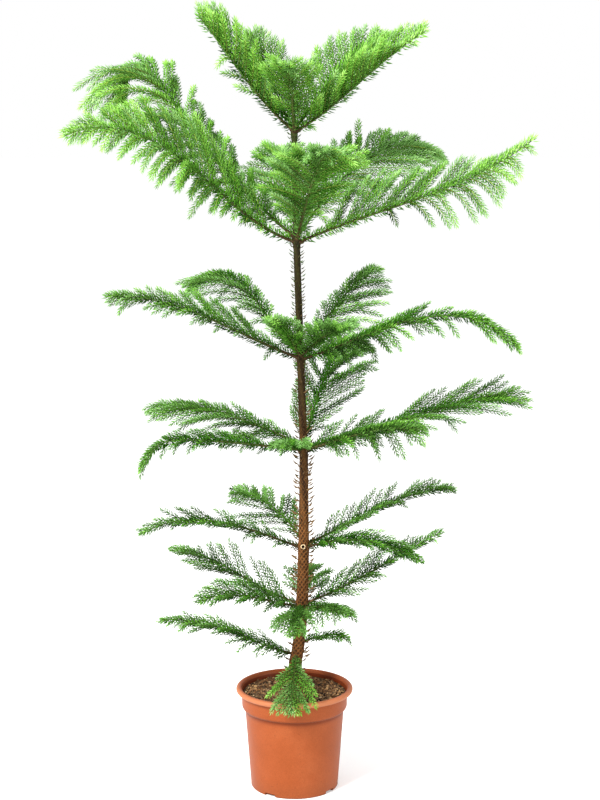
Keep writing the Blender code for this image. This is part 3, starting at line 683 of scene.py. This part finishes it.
# ---------------------------------------------------------------- boughs
# Thirty-six boughs leave the trunk in seven whorls. Each is one rib of wood that thins to its tip:
# brown and scarred by fallen leaves at its collar, olive further out, green where it still grows.
Bough = namedtuple("Bough", "height azimuth length slopes limb reach lift roll right left")
BOUGHS = {
    # Height, azimuth, length, slopes, the length of bare limb, and the sprays' reach, lift and roll, in
    # metres and degrees; then the right and the left side, as seen from the trunk. A side's five values are
    # the shares of that reach at the rib's root, middle and tip, the share of its sprays that are there,
    # and their sag.
    "a_left": Bough(1.167, 194, 0.26, (38, 52, 50), 0.032, 0.102, 32, 5,
        (1, 1.1, 1.1, 1, -20), (1.1, 1, 0.9, 1, 12)),
    "a_left_back": Bough(1.17, 130, 0.205, (46, 58, 62), 0, 0.08, 14, 20,
        (1, 1, 1, 1, -5), (1, 1, 1, 1, -5)),
    "a_right": Bough(1.165, 345, 0.288, (29, 40, 28), 0.034, 0.097, 28, -5,
        (1.1, 1, 0.3, 1, 8), (1, 1, 0.9, 1, -15)),
    "a_right_back": Bough(1.168, 44, 0.285, (45, 40, 12), 0, 0.09, 16, -15,
        (1, 1, 1, 1, 5), (1, 1, 1, 1, -5)),
    "a_front": Bough(1.163, 266, 0.18, (48, 46, 0), 0, 0.08, 14, 0,
        (1.1, 1.1, 1, 1, 15), (1.1, 1.1, 1, 1, 10)),
    "b_left": Bough(0.978, 202, 0.475, (16, 38, -30), 0.08, 0.13, 14, 42,
        (1, 1, 0.6, 1, 5), (0, 0.65, 0.75, 0.75, 66)),
    "b_left_back": Bough(0.984, 153, 0.532, (35, 48, 58, 175), 0.08, 0.125, 8, 15,
        (0.8, 0.8, 1.2, 1, 44), (1, 1.15, 1.7, 1, 64)),
    "b_right": Bough(0.976, 347, 0.452, (25, 20, 40), 0.08, 0.13, 6, -40,
        (-0.9, 0.6, 0.75, 0.65, 68), (1.1, 0.8, 0.4, 1, 5)),
    "b_right_back": Bough(0.985, 38, 0.4, (48, 28, -34), 0.07, 0.13, 4, -25,
        (1, 1.05, 0.9, 1, 34), (0.8, 0.9, 0.6, 1, 25)),
    "b_front": Bough(0.98, 284, 0.27, (45, 41, 12), 0.06, 0.125, 10, 0,
        (1, 1, 1, 1, 36), (1, 1, 1, 1, 38)),
    "b_back": Bough(0.982, 96, 0.33, (38, 32, 0), 0, 0.115, 5, 0,
        (1, 1, 1, 1, 20), (1, 1, 1, 1, 20)),
    "c_left": Bough(0.776, 194, 0.368, (20, 24, -4), 0.07, 0.09, 8, 20,
        (1.3, 0.9, 0.6, 1, -10), (0.2, 0.45, 1.1, 0.6, 50)),
    "c_left_back": Bough(0.782, 146, 0.286, (26, 43, -52), 0.06, 0.1, 4, 12,
        (0.5, 0.5, 0.6, 1, 35), (1.4, 1.5, 1.2, 1, 52)),
    "c_right": Bough(0.775, 346, 0.414, (15, 15, -54), 0.07, 0.088, 5, -12,
        (1.3, 0.9, 1.2, 0.8, 54), (0.6, 0.8, 0.6, 0.8, 10)),
    "c_right_back": Bough(0.783, 50, 0.255, (38, 36, 24), 0.05, 0.08, 4, -12,
        (1.3, 1.4, 1.2, 1, 32), (0.7, 0.6, 0.7, 1, 10)),
    "c_right_front": Bough(0.778, 300, 0.19, (32, 24, 2), 0, 0.066, 10, 0,
        (1.1, 1.1, 1, 1, 12), (1.1, 1.1, 1, 1, 6)),
    "c_front": Bough(0.78, 250, 0.16, (38, 32, 14), 0, 0.06, 10, 0,
        (1, 1, 1, 1, 15), (1, 1, 1, 1, 15)),
    "d_left": Bough(0.614, 204, 0.33, (9, 8, -4, 68), 0.06, 0.07, 12, 20,
        (1, 0.9, 0.5, 0.9, 14), (0.4, 0.4, 1.5, 0.75, 54)),
    "d_left_back": Bough(0.62, 159, 0.3, (22, 13, -6), 0.06, 0.08, 4, 15,
        (0.6, 0.7, 0.6, 0.9, 0), (1, 1.3, 1.6, 1, 38)),
    "d_right": Bough(0.617, 8, 0.377, (13, 16, 7, 8), 0.06, 0.095, 8, -20,
        (0.9, 1.1, 2, 0.9, 22), (0.9, 0.8, 1.6, 0.8, -12)),
    "d_back": Bough(0.622, 74, 0.35, (42, 28, 4), 0.06, 0.11, 5, -10,
        (1.45, 1.3, 1.25, 0.9, 18), (0.8, 0.9, 0.9, 0.9, 5)),
    "d_right_front": Bough(0.612, 324, 0.255, (20, 17, 0), 0, 0.085, 8, -10,
        (0.2, 0.9, 1.5, 0.85, 62), (1, 1, 1, 0.9, 30)),
    "d_front": Bough(0.617, 250, 0.115, (20, 14, 0), 0, 0.06, 5, 0,
        (1.2, 1.2, 1, 1, 24), (1.2, 1.2, 1, 1, 24)),
    "e_left": Bough(0.436, 187, 0.308, (21, 12, -34), 0.05, 0.064, 12, 15,
        (0.5, 0.9, 1.1, 0.8, -5), (0.6, 1, 0.9, 0.8, 22)),
    "e_back": Bough(0.443, 125, 0.243, (44, 12, 4), 0, 0.085, 2, 15,
        (1, 1, 0.8, 0.8, 10), (1.3, 1.3, 1, 0.8, 28)),
    "e_right": Bough(0.442, 17, 0.306, (19, 21, -8), 0.05, 0.058, 22, -10,
        (1, 1, 1.2, 0.95, 8), (1.1, 1.1, 1.2, 0.85, -15)),
    "e_right_front": Bough(0.436, 331, 0.245, (25, 1, -28), 0.05, 0.06, 10, -10,
        (1, 1, 1, 0.9, 20), (1.2, 1.1, 1, 1, 15)),
    "f_left": Bough(0.335, 161, 0.262, (7, 26, 2), 0.04, 0.08, 12, 20,
        (1.3, 1.1, 0.5, 0.85, -26), (1.1, 1.2, 1.3, 0.9, 20)),
    "f_left_front": Bough(0.33, 211, 0.22, (12, 16, -18), 0, 0.075, 12, 20,
        (1, 1, 1, 0.9, 15), (0.8, 0.9, 1, 0.8, 22)),
    "f_right": Bough(0.334, 13, 0.292, (16, 27, 24), 0.04, 0.072, 8, -10,
        (1.3, 0.7, 0.5, 0.9, 25), (1.4, 1.1, 0.8, 1, -12)),
    "f_right_front": Bough(0.33, 306, 0.138, (12, 9, -4), 0, 0.074, 5, 0,
        (1, 1, 0.9, 1, 45), (1, 1, 0.9, 1, 40)),
    "f_front": Bough(0.327, 264, 0.165, (8, 2, -26), 0, 0.068, 5, 0,
        (1.3, 1.3, 1, 1, 34), (1.3, 1.2, 0.9, 1, 30)),
    "f_back": Bough(0.338, 84, 0.17, (18, 8, 0), 0, 0.08, 10, 0,
        (1, 1, 0.8, 1, 15), (1, 1, 0.8, 1, 15)),
    "g_left": Bough(0.241, 190, 0.262, (15, 23, -6), 0, 0.064, 12, 0,
        (0.9, 0.9, 0.8, 0.9, 0), (0.7, 1.3, 1.2, 0.95, 40)),
    "g_right": Bough(0.262, 356, 0.1, (24, 10, -30), 0, 0.042, 5, 0,
        (1.4, 1.2, 1, 0.95, 40), (1, 1, 1, 0.8, 10)),
    "g_front": Bough(0.244, 265, 0.15, (-14, -28, -56), 0, 0.062, 6, 0,
        (-0.5, 1.4, 1, 1, 5), (-0.5, 1.45, 1, 1, 5)),
}
WHORLS = {whorl: [name for name in BOUGHS if name[0] == whorl] for whorl in "abcdefg"}


def by_whorl(*values):
    """One value for each whorl, from the top one down."""
    return dict(zip(WHORLS, values))


BUTT_RADIUS = by_whorl(0.0025, 0.0027, 0.0026, 0.0025, 0.0023, 0.0022, 0.0018)
# How much further along its rib a whorl has turned from brown to green.
GREENED = by_whorl(0.10, 0.02, 0.0, 0.0, -0.05, -0.05, -0.05)
RIB_TAPER = 0.66
RIB_STEPS = 25
RIB_ROW = 0.0021
RIB_SIDES = 10
RIB_SCARS = 4
RIB_SCAR_PITCH = 0.0062
RIB_RIDGE = 0.09
RIB_PIT = 0.12
RIB_BURIED = 0.55
RIB_COLLAR = 0.75
RIB_COLLAR_FADE = 0.0045
RIB_TIP_ROUNDING = 0.004
TIP_NEEDLES = 0.0072
UP = np.array([0.0, 0.0, 1.0])


def through(root, middle, tip, s):
    """The smooth run of a value along a bough, from what it is at the root, the middle and the tip."""
    return root * (1 - s) * (1 - 2 * s) + middle * 4 * s * (1 - s) + tip * s * (2 * s - 1)


def rib_line(bough):
    """A rib's centre line from the trunk's axis to its tip, and its headings. It bends as its slopes at
    root, middle and tip say, and a fourth slope is how far the tip nods."""
    turn = math.radians(bough.azimuth)
    s = np.linspace(0, 1, RIB_STEPS)
    root, middle, tip, nod = (*bough.slopes, 0)[:4]
    slope = np.radians(through(root, middle, tip, s) - nod * rise(s, 0.70, 1.0))
    ways = np.stack([np.cos(slope) * math.cos(turn), np.cos(slope) * math.sin(turn), np.sin(slope)], -1)
    steps = unit(ways[1:] + ways[:-1]) * (bough.length / (RIB_STEPS - 1))
    start = np.array([[trunk_at(bough.height)[0], 0.0, bough.height]])
    return np.concatenate([start, start + np.cumsum(steps, 0)]), ways


def along(line, s):
    """Points, or directions, at shares s of a line."""
    place = np.clip(s, 0, 1) * (len(line) - 1)
    k = np.minimum(place.astype(int), len(line) - 2)
    return line[k] + (line[k + 1] - line[k]) * (place - k)[..., None]


ribs = {}
for name, bough in BOUGHS.items():
    line, ways = rib_line(bough)
    inset = np.linspace(0, 1.0 - TIP_NEEDLES / bough.length, RIB_STEPS)
    ribs[name] = (along(line, inset), unit(along(ways, inset)))

rib_finishes = [
    grained("rib_brown", (0.042, 0.024, 0.009), 0.80, 0.15, 700.0, 0.6),
    grained("rib_tan", (0.052, 0.046, 0.013), 0.75, 0.15, 700.0, 0.6),
    grained("rib_olive", (0.058, 0.078, 0.016), 0.65, 0.15, 700.0, 0.6),
    grained("rib_green", (0.070, 0.140, 0.026), 0.55, 0.15, 700.0, 0.6),
]
turns = np.linspace(0, 2 * math.pi, RIB_SIDES, endpoint=False)
for whorl, names in WHORLS.items():
    all_points, all_quads, all_deals, made = [], [], [], 0
    for name in names:
        bough = BOUGHS[name]
        line, ways = ribs[name]
        wood = trunk_at(bough.height)[1]
        buried = RIB_BURIED * wood / bough.length
        rows = int(bough.length * (1 - buried) / RIB_ROW)
        s = np.linspace(buried, 1.0, rows)
        centres, headings = along(line, s), unit(along(ways, s))
        across = unit(np.cross(headings, UP))
        over = np.cross(across, headings)
        far = s * bough.length
        net = scar_net(turns[None] + far[:, None] * 40.0, far[:, None], RIB_SCARS, RIB_SCAR_PITCH)
        collar = 1.0 + RIB_COLLAR * np.exp(-(far - wood).clip(0) / RIB_COLLAR_FADE)
        girth = BUTT_RADIUS[whorl] * (1.0 - RIB_TAPER * s) * collar
        girth *= np.sqrt(np.clip((1.0 - s) * bough.length / RIB_TIP_ROUNDING, 0.02, 1.0))
        relief = 1.0 + RIB_RIDGE * (1.0 - rise(net, 0.0, 0.25)) - RIB_PIT * rise(net, 0.30, 0.48)
        ring = across[:, None] * np.cos(turns)[:, None] - over[:, None] * np.sin(turns)[:, None]
        walls, ends = loft_quads(1, rows, RIB_SIDES)
        edge = s[:-1] + 0.05 * np.sin(far[:-1] * 160.0 + bough.height * 90)
        tone = np.digitize(edge + GREENED[whorl], (0.10, 0.26, 0.52))
        radius = girth[:, None] * relief
        all_points.append((centres[:, None] + radius[..., None] * ring).reshape(-1, 3))
        all_quads += [walls + made, ends + made]
        all_deals += [np.repeat(tone, RIB_SIDES), np.repeat((0, 3), len(ends) // 2)]
        made += rows * RIB_SIDES
    points, quads, deal = np.concatenate(all_points), np.concatenate(all_quads), np.concatenate(all_deals)
    boughs = piece_of(f"boughs_{whorl}", points, quads, rib_finishes, deal)
    limbs = [f"limb_{name}" for name in names if BOUGHS[name].limb]
    if limbs:
        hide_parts(*limbs)

# ---------------------------------------------------------------- twigs
# Side sprays in two ranks along each rib, unbranched and supple, of the current and last years'
# growth. They leave the rib forwards, shorten towards its tip, and hang or rise with their weight.
TWIG_SPACING = by_whorl(0.0050, 0.0053, 0.0055, 0.0058, 0.0066, 0.0066, 0.0060)
# The share of the limb that is bare of twigs, and the angle between twig and rib at the root.
BARE_SHARE = by_whorl(0.80, 0.70, 0.55, 0.30, 0.60, 0.60, 0.60)
SPREAD_AT_ROOT = by_whorl(64.0, 64.0, 58.0, 50.0, 52.0, 52.0, 54.0)
SPREAD_LOSS = 26.0
LAST_TWIG = 0.985
TWIG_RADIUS = 0.00105
TWIG_TAPER = 0.55
TWIG_SIDES = 4
TWIG_ROWS = 8
TWIG_CLEAR = 0.0045
TWIG_LEAST = 0.008
FORWARD_BEND = 0.45
SAG_GROWTH = 1.3
STRAYS = 0.07
STRAY_LIFT = -20.0
STRAY_SAG = 40.0
STRAY_LENGTH = 0.55
STRAY_LEAST = 0.016
SHORTENED = (1.0, 0.85, 0.7, 0.55, 0.4)
# Rings of radius and height that keep the twigs off the rim of the pot.
RIM_GUARD = ((0.1000, 0.1800), (0.0945, 0.1680))
TWIG_SEED = 400


def spray_lines(root, way, side, over, reach, spread, lift, sag):
    """The centre lines of many side sprays, each bent forwards and towards the ground or the sky."""
    out = way * np.cos(spread)[:, None] + side * np.sin(spread)[:, None]
    out = unit(out * np.cos(lift)[:, None] + over * np.sin(lift)[:, None])
    share = np.linspace(0, 1, TWIG_ROWS)[None, :, None]
    hang = UP * (np.tan(sag)[:, None, None] * share**SAG_GROWTH)
    ways = unit(out[:, None] + way[:, None] * (FORWARD_BEND * share) - hang)
    steps = unit(ways[:, 1:] + ways[:, :-1]) * (reach / (TWIG_ROWS - 1))[:, None, None]
    return np.concatenate([root[:, None], root[:, None] + np.cumsum(steps, 1)], 1)


def own_sector(name):
    """Half the angle to the next bough of the whorl, on the right-hand and the left-hand side."""
    others = [BOUGHS[other].azimuth for other in WHORLS[name[0]] if other != name]
    turns = [(azimuth - BOUGHS[name].azimuth) % 360.0 for azimuth in others]
    return 0.5 * (360.0 - max(turns)), 0.5 * min(turns)


turn = np.linspace(0, 6.2, 90)
pot_ring = np.stack([np.cos(turn), np.sin(turn), np.zeros(90)], -1)
placed = {"pot": [pot_ring * wide + (0, 0, height) for wide, height in RIM_GUARD]}
for name in BOUGHS:
    placed[name] = [along(ribs[name][0], np.linspace(0.04, 1, 40))]
sprays = {}
for number, (name, bough) in enumerate(BOUGHS.items()):
    rng = np.random.default_rng(TWIG_SEED + number)
    line, ways = ribs[name]
    start = max(bough.limb * BARE_SHARE[name[0]], trunk_at(bough.height)[1] * 1.3) / bough.length
    many = max(4, int((LAST_TWIG - start) * bough.length / TWIG_SPACING[name[0]]))
    s = start + (LAST_TWIG - start) * (np.arange(many) + 0.5 + rng.uniform(-0.25, 0.25, many)) / many
    u = np.clip((s - start) / (0.80 - start), 0, 1.28)
    hand = np.where(np.arange(many) % 2, 1.0, -1.0)
    root, way = along(line, s), unit(along(ways, s))
    side = unit(np.cross(way, UP))
    over = np.cross(side, way)
    turn = math.radians(bough.roll)
    cos, sin = math.cos(turn), math.sin(turn)
    side, over = side * cos + over * sin, over * cos - side * sin
    # Sprays are longest a little before the middle of the bough, and short at its tip.
    taper = np.sin(math.pi * np.minimum(0.24 + 0.55 * u, 0.955)) ** 0.8
    sides = (np.where(hand > 0, right, left) for right, left in zip(bough.right, bough.left))
    at_root, at_middle, at_tip, there, sag = sides
    taper *= np.maximum(through(at_root, at_middle, at_tip, np.minimum(u, 1.0)), 0.08)
    full = np.maximum(bough.reach * taper * rng.uniform(0.86, 1.0, many) - TIP_NEEDLES, TWIG_LEAST)
    spread = np.radians(SPREAD_AT_ROOT[name[0]] - SPREAD_LOSS * u + rng.normal(0, 4.0, many))
    lift = np.radians(bough.lift + rng.normal(0, 5.0, many))
    # Now and then a spray hangs by itself below the rest.
    stray = rng.uniform(0, 1, many) < STRAYS
    lift = np.where(stray, np.radians(STRAY_LIFT), lift)
    full = np.where(stray, np.maximum(full * STRAY_LENGTH, STRAY_LEAST), full)
    down = np.radians(np.clip(sag + rng.normal(0, 8.0, many) + stray * STRAY_SAG, -60, 70))
    grown = rng.uniform(0, 1, many) < there
    # A twig keeps clear of other boughs and of their room; one that can't is tried again shorter.
    taken = np.concatenate([np.concatenate(lines) for other, lines in placed.items() if other != name])
    near = KDTree(len(taken))
    for index, point in enumerate(taken):
        near.insert(point, index)
    near.balance()
    right_room, left_room = own_sector(name)
    kept = np.zeros(many)
    lines = np.zeros((many, TWIG_ROWS, 3))
    waiting = np.flatnonzero(grown)
    for share in SHORTENED:
        tried = spray_lines(
            root[waiting], way[waiting], side[waiting] * hand[waiting, None], over[waiting],
            full[waiting] * share, spread[waiting], lift[waiting], down[waiting],
        )
        still = []
        for index, twig in zip(waiting, tried):
            ends = twig[-1] - line[0]
            off = (math.degrees(math.atan2(ends[1], ends[0])) - bough.azimuth + 180.0) % 360.0 - 180.0
            room = min(near.find(point)[2] for point in twig[2:])
            if -right_room < off < left_room and room > TWIG_CLEAR:
                lines[index] = twig
                kept[index] = full[index] * share
            else:
                still.append(index)
        waiting = np.array(still, int)
    fine = kept > 0
    sprays[name] = (lines[fine], kept[fine], s[fine])
    placed[name] += [lines[fine][:, 1:].reshape(-1, 3)]

fresh_twigs = [
    grained("twig_fresh_tip", (0.230, 0.350, 0.050), 0.60, 0.1, 900.0, 0.3),
    grained("twig_fresh_foot", (0.130, 0.170, 0.030), 0.70, 0.1, 900.0, 0.4),
]
dark_twigs = [
    grained("twig_dark_tip", (0.050, 0.100, 0.016), 0.60, 0.1, 900.0, 0.3),
    grained("twig_dark_foot", (0.034, 0.050, 0.012), 0.70, 0.1, 900.0, 0.4),
]
for whorl, names in WHORLS.items():
    lines = np.concatenate([sprays[name][0] for name in names])
    width = TWIG_RADIUS * (1.0 - TWIG_TAPER * np.linspace(0, 1, TWIG_ROWS))
    points, quads = tubes(lines, width, TWIG_SIDES, UP)
    old_rows = np.arange((TWIG_ROWS - 1) * TWIG_SIDES) < 3 * TWIG_SIDES
    deal = np.concatenate([np.tile(old_rows.astype(int), len(lines)), np.zeros(2 * len(lines), int)])
    twigs = piece_of(f"twigs_{whorl}", points, quads, fresh_twigs if whorl in "ab" else dark_twigs, deal)

# ---------------------------------------------------------------- needles
# Awl-shaped soft leaves, mostly 8 to 15 mm long, in a close spiral round every twig and along the ribs.
# They stand out, then curve forwards over the twig; new growth is pale yellow-green, old is deep.
NEEDLE_WIDTH = by_whorl(0.0022, 0.0021, 0.0022, 0.0022, 0.0022, 0.0022, 0.0021)
NEEDLE_LENGTH = by_whorl(0.0116, 0.0114, 0.0102, 0.0100, 0.0098, 0.0098, 0.0096)
NEEDLE_PITCH = by_whorl(0.00094, 0.00088, 0.00096, 0.00100, 0.00100, 0.00106, 0.00104)
# On a rib the leaves are longer, closer, and stand further out and off the bark.
RIB_LEAF_LENGTH = 1.30
RIB_LEAF_PITCH = 0.75
STAND_ANGLE = {"twig": 62.0, "rib": 72.0}
SKIN = {"twig": 0.0003, "rib": 0.0007}
# Leaves curl forwards as they grow, and close over the last stretch of a twig.
CURL = 28.0
CLOSING = 34.0
CLOSING_LENGTH = 0.012
LEAST_LEAVES = 8
CLEAR = 0.0005
NEEDLE_SEED = 900
# Each family of greens runs from the old, shaded leaves to the tips of new growth.
BRIGHT_GREENS = (
    ("green_deep", (0.010, 0.054, 0.003)),
    ("green_shade", (0.030, 0.118, 0.007)),
    ("green_leaf", (0.070, 0.208, 0.018)),
    ("green_young", (0.128, 0.322, 0.038)),
    ("green_fresh", (0.212, 0.452, 0.074)),
    ("green_tip", (0.318, 0.585, 0.135)),
)
GREY_GREENS = (
    ("dusk_deep", (0.011, 0.040, 0.004)),
    ("dusk_shade", (0.030, 0.090, 0.010)),
    ("dusk_leaf", (0.064, 0.165, 0.024)),
    ("dusk_young", (0.112, 0.262, 0.056)),
    ("dusk_fresh", (0.188, 0.378, 0.108)),
    ("dusk_tip", (0.285, 0.498, 0.175)),
)
# Where in its family a whorl's leaves start, and how many of its sprays are of the grey one.
WHORL_TONE = by_whorl(3.3, 3.2, 2.5, 2.05, 1.85, 1.85, 2.3)
GREY_SHARE = by_whorl(0.22, 0.45, 0.45, 0.50, 0.60, 0.55, 0.50)

needle_finishes = [
    grained(name, colour, 0.58, 0.04, 600.0, 0.2) for name, colour in BRIGHT_GREENS + GREY_GREENS
]
for number, (name, bough) in enumerate(BOUGHS.items()):
    whorl = name[0]
    upper = whorl in "ab"
    rng = np.random.default_rng(NEEDLE_SEED + number)
    # The boughs at the front are paler and, below the second whorl, greyer; those at the back are greyer.
    # Both are painted light: the front as lit by the lamps, the back as light showing through the crown.
    backward = math.sin(math.radians(bough.azimuth))
    front_light_share, back_light_share = max(0.0, -backward - 0.4), max(0.0, backward)
    bough_tone = WHORL_TONE[whorl] - 1.1 + (0.25 * front_light_share if upper else 1.7 * front_light_share + 0.45 * back_light_share)
    grey_share = GREY_SHARE[whorl] + 0.35 * back_light_share + (0.0 if upper else 0.5 * front_light_share)
    # The rib counts as one more twig, from its first leaves to its tip.
    bare = trunk_at(bough.height)[1] * 1.15 / bough.length
    rib = along(ribs[name][0], np.linspace(bare, 1.0, 24))
    rib_spray = (rib[None], np.array([bough.length * (1 - bare)]), np.array([1.0]))
    feet, firsts, lasts, sizes, tones = [], [], [], [], []
    for wood, (paths, spans, spots) in (("twig", sprays[name]), ("rib", rib_spray)):
        on_rib = wood == "rib"
        pitch = NEEDLE_PITCH[whorl] * (RIB_LEAF_PITCH if on_rib else 1.0)
        counts = np.maximum((spans / pitch).astype(int), LEAST_LEAVES)
        twig = np.repeat(np.arange(len(paths)), counts)
        many = len(twig)
        order = np.arange(many) - np.repeat(np.cumsum(counts) - counts, counts)
        share = (order + rng.uniform(0.2, 0.8, many)) / counts[twig]
        place = share * (paths.shape[1] - 1)
        k = np.minimum(place.astype(int), paths.shape[1] - 2)
        part = (place - k)[:, None]
        low, high = paths[twig, k], paths[twig, k + 1]
        directions = unit(np.gradient(paths, axis=1))
        way = unit(directions[twig, k] * (1 - part) + directions[twig, k + 1] * part)
        across = unit(np.cross(way, UP))
        over = np.cross(across, way)
        phase = rng.uniform(0, 6.28, len(paths))[twig]
        turn = order * GOLDEN_TURN + phase + rng.normal(0, 0.10, many)
        radial = across * np.cos(turn)[:, None] + over * np.sin(turn)[:, None]
        closing = rise(share, 1.0 - CLOSING_LENGTH / np.maximum(spans[twig], 0.02), 1.0)
        stand = np.radians(STAND_ANGLE[wood] - CLOSING * closing + rng.normal(0, 4.0, many))
        curled = stand - np.radians(CURL - 10.0 * closing)
        size = NEEDLE_LENGTH[whorl] * (RIB_LEAF_LENGTH if on_rib else 1.0) * rng.uniform(0.88, 1.10, many)
        size *= (1.0 - 0.22 * closing) * (0.80 + 0.20 * rise(share * spans[twig], 0.0, 0.012))
        # The underside of a rib keeps only some of its leaves, fewer in the upper whorls.
        stays = rng.uniform(0, 1, many) < (0.45 if upper else 0.80)
        stays |= (radial[:, 2] > -0.15) | (not on_rib)
        if on_rib:
            newness = 2.6 * rise(share, 0.70, 1.0) - 0.7
        else:
            newness = 1.5 * rise(share, 0.55, 1.0) + 0.9 * rise(spots[twig], 0.45, 1.0)
            newness *= 1.0 if upper else 0.75
        spray_tone = rng.normal(0, 0.55, len(paths))[twig]
        # Leaves on the upper side of a twig or rib get lighter greens and those beneath darker ones:
        # painted light and shade.
        tone = bough_tone + newness + spray_tone + 0.9 * radial[:, 2] + rng.normal(0, 0.30, many)
        grey = (rng.uniform(0, 1, len(paths)) < grey_share)[twig]
        feet.append((low + (high - low) * part + radial * SKIN[wood])[stays])
        firsts.append((way * np.cos(stand)[:, None] + radial * np.sin(stand)[:, None])[stays])
        lasts.append((way * np.cos(curled)[:, None] + radial * np.sin(curled)[:, None])[stays])
        sizes.append(size[stays])
        tones.append((np.clip(np.round(tone), 0, 5) + len(BRIGHT_GREENS) * grey)[stays])
    feet, firsts, lasts = np.concatenate(feet), np.concatenate(firsts), np.concatenate(lasts)
    sizes, tones = np.concatenate(sizes), np.concatenate(tones)
    # No leaf reaches into the pot, the compost or the trunk.
    tips = feet + (firsts + lasts) * (sizes * 0.5)[:, None]
    far = np.hypot(tips[:, 0], tips[:, 1])
    within = COLLAR_LOW_RADIUS - POT_WALL - 2 * CLEAR
    in_pot = (far < RIM_RADIUS + 2 * CLEAR) & (far > within) & (tips[:, 2] < POT_HEIGHT + CLEAR)
    in_soil = (far <= within) & (tips[:, 2] < SOIL_TOP_HEIGHT + 2 * CLEAR)
    axis_x, trunk_radius = trunk_at(tips[:, 2])
    in_trunk = np.hypot(tips[:, 0] - axis_x, tips[:, 1]) < trunk_radius + CLEAR
    free = ~(in_pot | in_soil | in_trunk)
    widths = sizes * NEEDLE_WIDTH[whorl] / NEEDLE_LENGTH[whorl]
    points, corners = awls(feet[free], firsts[free], lasts[free], sizes[free], widths[free])
    deal = np.repeat(tones[free].astype(int), 4)
    needles = piece_of(f"needles_{name}", points, corners, needle_finishes, deal, smooth=False)
    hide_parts(f"foliage_{name}")

# ---------------------------------------------------------------- studio
# A plain pale floor under a white room, one broad soft light high on the left, a weaker one on the
# right, and the camera a little above the middle of the plant.
CAMERA_PLACE = (0.0099, -3.0, 1.178)
CAMERA_DIP = 9.006
CAMERA_LENS = 78.165

bpy.ops.mesh.primitive_circle_add(vertices=96, radius=60.0, fill_type="NGON", location=(0, 0, -0.0002))
floor = bpy.context.object
floor.name = "floor"
floor_finish, tree, shader = new_finish("floor_white", (0.88, 0.88, 0.88), 0.9, 0.0)
shader.inputs["Emission Color"].default_value = (1.0, 1.0, 1.0, 1.0)
shader.inputs["Emission Strength"].default_value = 0.14
floor.data.materials.append(floor_finish)
floor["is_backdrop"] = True

world = bpy.data.worlds.new("white_room")
world.use_nodes = True
world.node_tree.nodes["Background"].inputs["Color"].default_value = (1.0, 1.0, 1.0, 1.0)
world.node_tree.nodes["Background"].inputs["Strength"].default_value = 1.0
bpy.context.scene.world = world


def soft_light(name, place, aim, size, power, colour):
    """A square soft light that stands at a place and points at its aim."""
    data = bpy.data.lights.new(name, "AREA")
    data.shape = "RECTANGLE"
    data.size, data.size_y = size
    data.energy = power
    data.color = colour
    lamp = bpy.data.objects.new(name, data)
    away = unit(np.subtract(place, aim))
    lamp.location = place
    lamp.rotation_euler = (math.acos(away[2]), 0.0, math.atan2(away[0], -away[1]))
    bpy.context.scene.collection.objects.link(lamp)


soft_light("key", (-2.2, -2.4, 3.0), (0.0, 0.0, 0.8), (1.3, 1.3), 330.0, (1.0, 0.985, 0.96))
soft_light("fill", (2.6, -1.6, 1.8), (0.0, 0.0, 0.7), (1.8, 1.8), 50.0, (0.97, 0.985, 1.0))

camera_data = bpy.data.cameras.new("camera")
camera_data.sensor_width = 36.0
camera_data.lens = CAMERA_LENS
camera = bpy.data.objects.new("camera", camera_data)
camera.location = CAMERA_PLACE
camera.rotation_euler = (math.radians(90.0 - CAMERA_DIP), 0.0, 0.0)
bpy.context.scene.collection.objects.link(camera)
bpy.context.scene.camera = camera
bpy.context.scene.view_settings.view_transform = "Standard"

sizes = {"cad": cad_box, "visual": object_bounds()}
